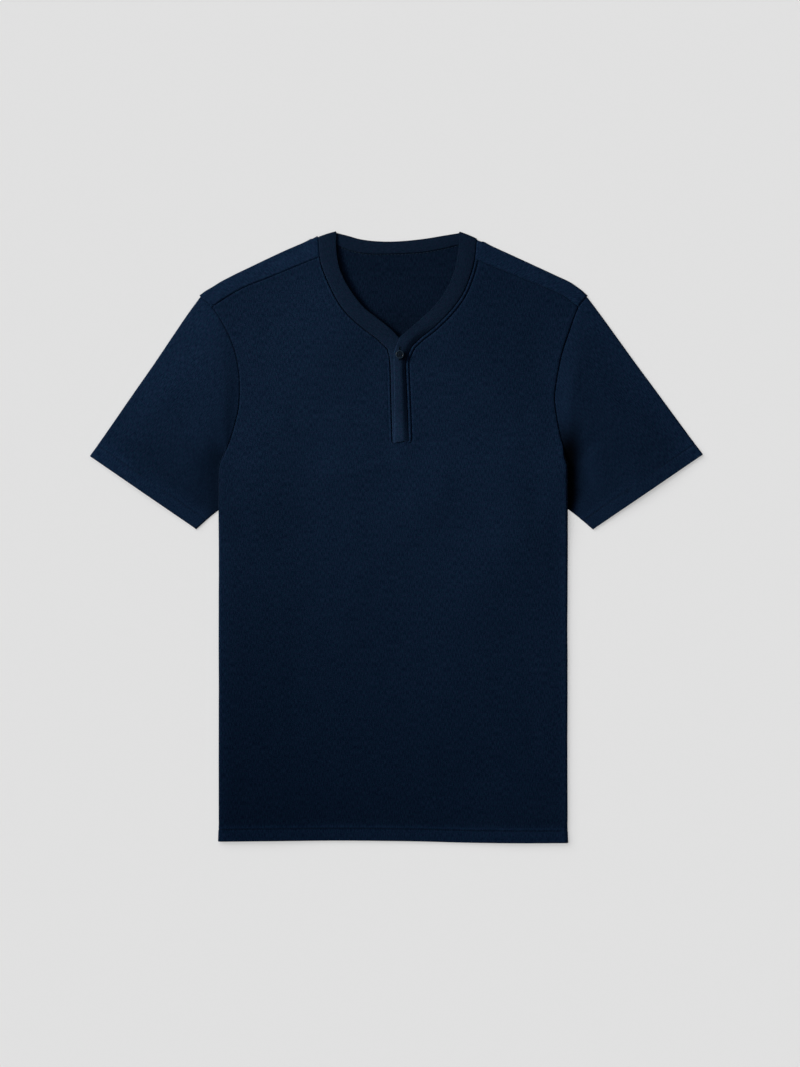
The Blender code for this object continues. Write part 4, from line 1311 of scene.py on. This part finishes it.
def strip_points(row):
    """One closed ring of points round the strip, dimpled where the button presses it."""
    width = np.linalg.norm(row.seam - row.free)
    across, height = strip_section(width, row.thick)
    plan = row.free + across[:, None] / width * (row.seam - row.free)
    middle = row.free_z + (row.seam_z - row.free_z) * ease(PLACKET_FLAT, 1, across / width)
    middle += row.rise * neck_rise(*plan.T)
    dimple = bell(np.linalg.norm(plan - BUTTON_SEAT, axis=1), 6)
    middle -= DIMPLE * dimple * (row.rise > 0)
    return np.column_stack([plan, middle]) + height[:, None] * np.array(row.out), across


def strip_painted_shading(points, across):
    """Paler placket, painted highlights at its fold and foot, painted shade at the neck and
    button.
    """
    x, y, z = points.T
    placket = 1 - ease(560, 584, y)
    # painted highlight on the placket's folded edge, painted shade on the band's folded edge
    # round the neck, and a paler placket
    painted_shading = (0.6 * placket - 0.2) * bell(across, 1.1) + 0.25 * placket
    # painted highlight at the placket's foot
    painted_shading += 0.45 * (1 - ease(452, 500, y))
    # painted shade round the button
    return painted_shading - 0.45 * bell(np.hypot(x - 3.9, y - 557), 6.8, 4) * (z > 4.6)


def select_only(made=None):
    """Deselects all, then selects one object and makes it the active one."""
    bpy.ops.object.select_all(action="DESELECT")
    if made:
        made.select_set(True)
        bpy.context.view_layer.objects.active = made


def strip_object(name, rows):
    rings = [strip_points(row) for row in rows]
    count = len(rings[0][0])
    points = np.vstack([ring for ring, _ in rings])
    points[:, 2] = np.maximum(points[:, 2], 0)
    lengths = distance_along(points[8::count])
    grain = np.column_stack([np.concatenate([across for _, across in rings]),
                             np.repeat(lengths, count)])
    faces = tube_faces(len(rings), count).tolist()
    faces += [list(range(count))[::-1], list(range(len(points) - count, len(points)))]
    made = mesh_object(name, metres(points), faces, BAND, grain, strip_painted_shading(points, grain[:, 0]))
    select_only(made)
    bpy.ops.object.mode_set(mode="EDIT")
    bpy.ops.mesh.select_all(action="SELECT")
    bpy.ops.mesh.normals_make_consistent(inside=False)
    bpy.ops.object.mode_set(mode="OBJECT")
    bpy.ops.object.shade_smooth_by_angle(angle=math.radians(60))
    print(name, len(faces), "faces,", round(float(lengths[-1])), "mm long")
    return made


# %% [markdown]
# The neckband starts at the point of the V on the wearer's right, runs up to the shoulder
# fold and turns over it, crosses the back of the neck, and comes down the other side. There
# it rises on to the under strip and ends at the foot of the placket.

# %% Make the neckband and the under placket
BAND_SPACING, PLACKET_RISE, RISE_START = 1.8, 46.0, 14.0
FOOT_DROP, FOOT_LONG = 0.35, 18


def paired(seam, free):
    """Points along both edges of a strip, one against the other."""
    seam, free = smooth(seam), smooth(free)
    count = round(distance_along(seam)[-1] / BAND_SPACING) + 1
    return evenly(seam, count), evenly(free, count)


def shoulder_turn(side):
    """Rows of the neckband round the shoulder fold, from the front to the back."""
    seam, free = np.array(BAND_SEAM[side.name][0]), np.array(BAND_FREE[side.name][0])
    ahead = (free - seam) / np.linalg.norm(free - seam)
    up = -side.sign * np.array((-ahead[1], ahead[0]))
    middle, radius = (FRONT_BAND_Z + BACK_BAND_Z) / 2, (FRONT_BAND_Z - BACK_BAND_Z) / 2
    rows = []
    for turned in np.linspace(0, math.pi, 11)[1:-1]:
        across, height = math.sin(turned) * up, middle + radius * math.cos(turned)
        rows.append(Row(seam + radius * across, free + radius * across, height, height, 0.0,
                        (*across, math.cos(turned)), BAND_WALL))
    return rows


def front_band(side, free_edge_rise):
    """Rows of the neckband on the front, from the shoulder fold to the V."""
    seams, frees = paired(BAND_SEAM[side.name], BAND_FREE[side.name])
    along = distance_along(seams)
    raised = free_edge_rise * ease(-PLACKET_RISE, 0, along - along[-1])
    wave = FRONT_BAND_Z + pucker(along, 41 + side.sign, 19, 0.05)
    return [Row(seam, free, lie, lie + lift, float(ease(0, RISE_START, run)), UP, BAND_WALL)
            for seam, free, run, lift, lie in zip(seams, frees, along, raised, wave)]


def flat_strip(seam, free, seam_z, free_z, rise, out):
    """Rows of a strip that lies flat; a list of heights may stand for the free edge's."""
    seams, frees = paired(seam, free)
    return [Row(*pair, seam_z, high, rise, out, BAND_WALL)
            for *pair, high in zip(seams, frees, np.broadcast_to(free_z, len(seams)))]


def thinner_end(rows):
    """Rounds the strip's foot by making its last rows thinner."""
    for step, share in ((-1, 0.45), (-2, 0.78), (-3, 0.94)):
        rows[step] = rows[step]._replace(thick=BAND_WALL * share)
    return rows


def band_rows():
    along = distance_along(paired(PLACKET_SEAM, PLACKET_FREE)[0])
    placket_z = PLACKET_Z - FOOT_DROP * ease(FOOT_LONG, 0, along[-1] - along)
    return thinner_end(
        front_band(RIGHT, 0)[::-1] + shoulder_turn(RIGHT)
        + flat_strip(BACK_BAND_SEAM, BACK_BAND_FREE, BACK_BAND_Z, BACK_BAND_Z, 0.0, DOWN)
        + shoulder_turn(LEFT)[::-1] + front_band(LEFT, PLACKET_Z - FRONT_BAND_Z)
        + flat_strip(PLACKET_SEAM, PLACKET_FREE, FRONT_BAND_Z, placket_z, 1.0, UP)[1:])


neckband = strip_object("neckband_cloth", band_rows())
under_placket = strip_object("placket_under_cloth", thinner_end(
    flat_strip(UNDER_SEAM, UNDER_FREE, FRONT_BAND_Z, FRONT_BAND_Z, 1.0, UP)))

# %% [markdown]
# ## Stitches
# Each seam that shows its thread gets real stitches: one grain-shaped loop of thread is
# modelled once, and copies of it are laid along the seam in a row. Where a row lies is found
# by dropping each point on the finished cloth, so that the thread sinks into its groove.

# %% One stitch, and rows of it
def new_grain(long, wide, high, segments=8, rings=6):
    """A rice-grain shape, modelled by hand and returned as points and faces."""
    select_only()
    bpy.ops.mesh.primitive_uv_sphere_add(segments=segments, ring_count=rings, radius=0.5)
    made = bpy.context.object
    bpy.ops.object.mode_set(mode="EDIT")
    bpy.ops.mesh.select_all(action="SELECT")
    bpy.ops.transform.resize(value=(wide * MM, long * MM, high * MM))
    bpy.ops.object.mode_set(mode="OBJECT")
    points = np.array([vertex.co[:] for vertex in made.data.vertices])
    faces = [tuple(face.vertices) for face in made.data.polygons]
    bpy.data.objects.remove(made)
    return points, faces


def surface_of(piece):
    """The finished surface of a piece, for dropping points on."""
    done = piece.evaluated_get(bpy.context.evaluated_depsgraph_get())
    mesh = done.to_mesh()
    corners = [vertex.co.copy() for vertex in mesh.vertices]
    faces = [tuple(face.vertices) for face in mesh.polygons]
    done.to_mesh_clear()
    return BVHTree.FromPolygons(corners, faces)


def dropped(surface, plan, side=1):
    """Where plan points in millimetres meet a surface from above, or below, and its normal."""
    found = []
    for x, y in plan:
        origin = Vector(((x - CENTRE_X) * MM, (y - CENTRE_Y) * MM, 0.1 * side))
        place, normal, _, _ = surface.ray_cast(origin, Vector((0, 0, -side)))
        if place is not None:
            found.append((place, normal))
    return found


def laid_grain(grain, place, along, normal, sunk=0.12):
    """One copy of a grain, which points along a row and lies flat on the cloth."""
    points, faces = grain
    up = (normal - normal.dot(along) * along).normalized()
    turn = np.array((along.cross(up), along, up))
    return points @ turn + np.array(place + up * sunk * MM), faces


def thread_row(grain, places, sunk=0.0):
    """Copies of a grain at these places, each pointing to the next."""
    row = []
    for index, (place, normal) in enumerate(places):
        near, far = places[max(index - 1, 0)][0], places[min(index + 1, len(places) - 1)][0]
        row.append(laid_grain(grain, place, (far - near).normalized(), normal, sunk))
    return row


def joined(name, copies, material):
    """One object of many copies."""
    points, faces, start = [], [], 0
    for copy_points, copy_faces in copies:
        points.append(copy_points)
        faces += [tuple(start + corner for corner in face) for face in copy_faces]
        start += len(copy_points)
    print(name, len(faces), "faces")
    return mesh_object(name, np.vstack(points), faces, material)


FRONT_FACE, BACK_FACE, BAND_FACE = map(surface_of, (shirt_front, shirt_back, neckband))
print("surfaces are ready for the stitches")

# %% [markdown]
# The hem and the cuffs have one row of stitches, about three to the centimetre, which shows
# on both faces. The back of the neck has a longer stitch that holds its band down, seen
# inside the collar, and a short row closes the placket's foot.

# %% Sew the hem, the cuffs, the back of the neck and the placket's foot
STITCH, STITCH_PITCH = new_grain(2.5, 0.42, 0.34), 3.1
LONG_STITCH, SHORT_STITCH = new_grain(3.0, 0.5, 0.36), new_grain(1.9, 0.38, 0.3)
ON_TOP, UNDERNEATH = 0.05, -0.16
PLACKET_FOOT = ((-4.9, PLACKET_BOTTOM + 1.7), (9.2, PLACKET_BOTTOM + 2.0))


def hem_line(setback, inside):
    """The hem's stitch line, as far inside both side folds as this."""
    across = np.arange(inside - RIGHT.edge, LEFT.edge - inside, STITCH_PITCH)
    return np.column_stack([across, hem_height(across) + HEM_DEPTH - STITCH_BACK + setback])


def cuff_line(side):
    """The cuff's stitch line, from the overarm to the underarm fold."""
    over, under = (smooth(table[side.name], 30)[-1] for table in (OVERARM, UNDERARM))
    inward = ARMHOLE[side.name][4] - (over + under) / 2
    along = (under - over) / np.linalg.norm(under - over)
    inward -= inward.dot(along) * along
    inward *= (CUFF_DEPTH - STITCH_BACK) / np.linalg.norm(inward)
    count = round(np.linalg.norm(under - over) / STITCH_PITCH)
    return over + inward + np.linspace(0, 1, count)[:, None] * (under - over)


def hem_threads():
    rows = thread_row(STITCH, dropped(FRONT_FACE, hem_line(0, 1)), ON_TOP)
    rows += thread_row(STITCH, dropped(BACK_FACE, hem_line(HEM_SETBACK, 52), -1), UNDERNEATH)
    for side in SIDES:
        face, line = surface_of(sleeves[side.name]), cuff_line(side)
        rows += thread_row(STITCH, dropped(face, line), ON_TOP)
        rows += thread_row(STITCH, dropped(face, line, -1), UNDERNEATH)
    return joined("hem_and_cuff_stitches", rows, THREAD)


def neck_threads():
    line = offset(smooth(BACK_BAND_SEAM), -1.0)
    line = evenly(line, round(distance_along(line)[-1] / 4.0))[3:-3]
    foot = at_shares(np.array(PLACKET_FOOT), np.linspace(0, 1, 7))
    rows = thread_row(LONG_STITCH, dropped(BACK_FACE, line), 0.02)
    rows += thread_row(SHORT_STITCH, dropped(BAND_FACE, foot))
    return joined("neck_and_placket_stitches", rows, PALE_THREAD)


hem_stitches, neck_stitches = hem_threads(), neck_threads()

# %% [markdown]
# ## Buttonhole
# The upright slit is worked round with close satin stitches, and a bar closes each end. It is
# longer than the button, so its ends show above and below.

# %% Work the buttonhole
HOLE_LOW, HOLE_HIGH, HOLE_X = 551.2, 566.0, 0.2
HOLE_REACH, HOLE_PITCH, BAR_SHIFTS = (0.30, 1.35), 0.36, (-0.9, -0.45, 0, 0.45, 0.9)


def buttonhole():
    satin = new_grain(1.15, 0.40, 0.34, 6, 4)
    rows = []
    for side in (-1, 1):
        for up in np.arange(HOLE_LOW, HOLE_HIGH, HOLE_PITCH):
            near, far = dropped(BAND_FACE, [(HOLE_X + side * reach, up) for reach in HOLE_REACH])
            along = (far[0] - near[0]).normalized()
            rows.append(laid_grain(satin, (near[0] + far[0]) / 2, along, near[1]))
    for up in (HOLE_LOW - 0.3, HOLE_HIGH + 0.1):
        for place, normal in dropped(BAND_FACE, [(HOLE_X + shift, up) for shift in BAR_SHIFTS]):
            rows.append(laid_grain(satin, place, Vector((0, 1, 0)), normal))
    return joined("buttonhole_stitches", rows, THREAD)


def slit():
    # painted shade: near-black grains fill the open slit
    places = dropped(BAND_FACE, [(HOLE_X, up) for up in np.arange(HOLE_LOW, HOLE_HIGH, 1.2)])
    row = thread_row(new_grain(1.9, 0.55, 0.2), places, 0.06)
    return joined("buttonhole_slit_shade", row, SLIT_SHADE)


buttonhole_stitches, buttonhole_slit_shade = buttonhole(), slit()

# %% [markdown]
# ## The button
# A lathe-turned button with a raised rim, a dished middle and four holes. It starts as a
# disc: its top face is inset and pushed down for the dish, its edges are bevelled, and four
# drills cut the holes. The rim has a paler finish, which is a painted highlight.

# %% Turn the button
LOW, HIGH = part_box("button")
BUTTON_MIDDLE = (LOW + HIGH) / 2
BUTTON_RADIUS, BUTTON_HALF = (HIGH.x - LOW.x) / 2, (HIGH.z - LOW.z) / 2
RIM_WIDE, DISH_SLOPE, DISH_DEEP = 1.15 * MM, 0.45 * MM, 0.55 * MM
HOLE_OUT, HOLE_RADIUS = 1.25 * MM, 0.52 * MM


def pick(made, radius, height, kind="EDGE", spread=0.08 * MM):
    """Selects, in Edit Mode, one ring of edges, or the flat face inside that ring."""
    bpy.ops.object.mode_set(mode="OBJECT")
    bpy.context.tool_settings.mesh_select_mode = (False, kind == "EDGE", kind == "FACE")
    fits = set()
    for vertex in made.data.vertices:
        place = made.matrix_world @ vertex.co - BUTTON_MIDDLE
        vertex.select = abs(place.xy.length - radius) < spread and abs(place.z - height) < spread
        if vertex.select:
            fits.add(vertex.index)
    for edge in made.data.edges:
        edge.select = set(edge.vertices) <= fits
    for face in made.data.polygons:
        face.select = kind == "FACE" and set(face.vertices) <= fits
    bpy.ops.object.mode_set(mode="EDIT")


def turn_button():
    select_only()
    bpy.ops.mesh.primitive_cylinder_add(vertices=72, radius=BUTTON_RADIUS,
                                        depth=2 * BUTTON_HALF, location=BUTTON_MIDDLE)
    made = bpy.context.object
    made.name = "turned_button"
    pick(made, BUTTON_RADIUS, BUTTON_HALF, "FACE")
    bpy.ops.mesh.inset(thickness=RIM_WIDE, depth=0)
    bpy.ops.mesh.inset(thickness=DISH_SLOPE, depth=-DISH_DEEP)
    for radius, height, width in ((BUTTON_RADIUS, BUTTON_HALF, 0.55),
                                  (BUTTON_RADIUS, -BUTTON_HALF, 0.45),
                                  (BUTTON_RADIUS - RIM_WIDE, BUTTON_HALF, 0.3)):
        pick(made, radius, height)
        bpy.ops.mesh.bevel(offset=width * MM, segments=5, affect="EDGES")
    bpy.ops.object.mode_set(mode="OBJECT")
    return made


def drill(made):
    for index in range(4):
        turn = math.radians(45 + 90 * index)
        reach = Vector((math.cos(turn), math.sin(turn), 0)) * HOLE_OUT
        select_only()
        bpy.ops.mesh.primitive_cylinder_add(vertices=24, radius=HOLE_RADIUS, depth=8 * MM,
                                            location=BUTTON_MIDDLE + reach)
        cutter = bpy.context.object
        hole = made.modifiers.new("hole", "BOOLEAN")
        hole.operation = "DIFFERENCE"
        hole.object = cutter
        select_only(made)
        bpy.ops.object.modifier_apply(modifier=hole.name)
        bpy.data.objects.remove(cutter)
    bpy.ops.object.transform_apply(location=True, rotation=True, scale=True)
    bpy.ops.object.shade_smooth_by_angle(angle=math.radians(32))
    made.data.materials.append(PLASTIC)
    made.data.materials.append(RIM_HIGHLIGHT)
    # painted highlight: the rim's top faces take the paler finish
    for face in made.data.polygons:
        out = (face.center - BUTTON_MIDDLE).xy.length > BUTTON_RADIUS - 1.1 * MM
        face.material_index = int(out and face.center.z > BUTTON_MIDDLE.z)
    print("button", len(made.data.polygons), "faces")
    return made


button = drill(turn_button())

# %% [markdown]
# Two pairs of thread strands cross the holes, and a short wound shank joins the button to the
# placket. Both are made of the same grain shape as the stitches.

# %% Sew the button on
UPRIGHT, ALONG = Vector(UP), Vector((0, 1, 0))
STRAND_DEEP, STRAND_OUT, STRAND_SHIFTS = 0.40, 0.88, (-0.24, 0.02, 0.27)


def button_threads():
    """Strands through the holes, and the wound shank under the button."""
    x, y, z = BUTTON_MIDDLE
    strand, wind = new_grain(2.7, 0.34, 0.42, 8, 8), new_grain(2.4, 2.3, 0.42, 12, 6)
    rows = []
    for side in (-1, 1):
        for shift in STRAND_SHIFTS:
            place = Vector((x + (side * STRAND_OUT + shift) * MM, y,
                            z + BUTTON_HALF - (STRAND_DEEP - 0.05 * abs(shift)) * MM))
            along = Vector((0.03 * side, 1, 0)).normalized()
            rows.append(laid_grain(strand, place, along, UPRIGHT))
    seat = dropped(BAND_FACE, [BUTTON_SEAT])[0][0].z
    for height in np.arange(seat, z - BUTTON_HALF + 0.2 * MM, 0.28 * MM):
        rows.append(laid_grain(wind, Vector((x, y, height)), ALONG, UPRIGHT))
    return joined("button_threads", rows, THREAD)


threads = button_threads()

# %% [markdown]
# ## Ride and replace
# Each piece rides on the shirt's one body and stands for the plain solid that it covers.

# %% Ride and replace
PIECES = {
    shirt_front: ("jersey", "front_panel"), shirt_back: ("jersey", "back_panel"),
    sleeves["left"]: ("jersey", "sleeve_left"), sleeves["right"]: ("jersey", "sleeve_right"),
    neckband: ("band", "neckband"), under_placket: ("band", "placket_under"),
    button: ("button", "button"), threads: ("band", None), hem_stitches: ("jersey", None),
    neck_stitches: ("band", None), buttonhole_stitches: ("band", None),
    buttonhole_slit_shade: ("band", None),
}
for piece, (slot, node) in PIECES.items():
    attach(piece, "root")
    if node:
        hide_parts(node)

print(len(PIECES), "pieces declared")

# %% [markdown]
# ## Floor
# The shirt lies on a plain pale floor, which is part of the stage and not of the shirt.

# %% Floor
select_only()
bpy.ops.mesh.primitive_plane_add(size=12, location=(0, 0, 0))
floor = bpy.context.object
floor.name = "floor"
pale = Finish("pale_floor")
pale.set(Base_Color=(0.78, 0.78, 0.78, 1), Roughness=0.95, Specular_IOR_Level=0.0)
floor.data.materials.append(pale.material)
print("the floor is", round(floor.dimensions.x), "m wide")

# %% [markdown]
# ## Lights
# Broad soft light falls from the upper left and from above, as in a small studio. A soft
# light from low on the left grazes only the cloth, so that its slight relief shows. Each
# light has its own list of things that it falls on. The world adds a faint even light, and
# the camera sees it as a pale wall.

# %% Lights
def light(name, kind, energy, towards, things, colour=(1, 1, 1)):
    """A light that shines from this direction on these things alone."""
    data = bpy.data.lights.new(name, kind)
    data.energy = energy
    data.color = colour
    made = bpy.data.objects.new(name, data)
    bpy.context.scene.collection.objects.link(made)
    made.rotation_euler = towards.to_track_quat("Z", "Y").to_euler()
    lit = bpy.data.collections.new(name)
    for thing in things:
        lit.objects.link(thing)
    made.light_linking.receiver_collection = lit
    return made


def sun(name, turn, elevation, angle, strength, things, colour=(1, 1, 1)):
    """A broad light from far away: its turn is measured from +X, towards +Y."""
    across, up = math.radians(turn), math.radians(elevation)
    towards = Vector((math.cos(across) * math.cos(up), math.sin(across) * math.cos(up),
                      math.sin(up)))
    made = light(name, "SUN", strength, towards, things, colour)
    made.data.angle = math.radians(angle)


sun("floor_key", 146, 45, 62, 1.51, [floor])
sun("floor_fill", 90, 89, 4, 1.64, [floor])
sun("cloth_fill", 150, 50, 60, 0.78, PIECES, (0.72, 1.0, 1.12))

LAMP_PLACE, LAMP_AIM = Vector((-0.872, 0.527, 0.575)), Vector((0.55, -0.08, 0))
cloth_light = light("cloth_light", "AREA", 2.7, LAMP_PLACE - LAMP_AIM, PIECES,
                    (1.0, 0.92, 0.80))
cloth_light.location = LAMP_PLACE
cloth_light.data.shape = "RECTANGLE"
cloth_light.data.size, cloth_light.data.size_y = 0.40, 0.36
cloth_light.data.spread = math.radians(60)

WORLD_LIGHT, WORLD_SEEN = 0.10, 0.65
world = bpy.data.worlds.new("studio")
bpy.context.scene.world = world
world.use_nodes = True
backdrop = world.node_tree.nodes["Background"]
backdrop.inputs["Color"].default_value = (1, 1, 1, 1)
rays = world.node_tree.nodes.new("ShaderNodeLightPath")
seen = world.node_tree.nodes.new("ShaderNodeMath")
seen.operation = "MULTIPLY_ADD"
seen.inputs[1].default_value, seen.inputs[2].default_value = WORLD_SEEN, WORLD_LIGHT
world.node_tree.links.new(rays.outputs["Is Camera Ray"], seen.inputs[0])
world.node_tree.links.new(seen.outputs[0], backdrop.inputs["Strength"])
bpy.context.scene.view_settings.view_transform = "Standard"
print("lights are set")

# %% [markdown]
# ## Camera
# The camera looks straight down on the shirt from almost three metres, with a long lens, so
# the outline is hardly distorted.

# %% Camera
VIEW_HIGH = 1067 * 1.145 * MM
LENS, SENSOR = 85.0, 36.0
camera_data = bpy.data.cameras.new("camera")
camera_data.lens = LENS
camera_data.sensor_width = SENSOR
camera = bpy.data.objects.new("camera", camera_data)
bpy.context.scene.collection.objects.link(camera)
camera.location = (0.0041, 0.0040, VIEW_HIGH * LENS / SENSOR)
bpy.context.scene.camera = camera
print("the camera stands", round(camera.location.z, 3), "m above the floor")
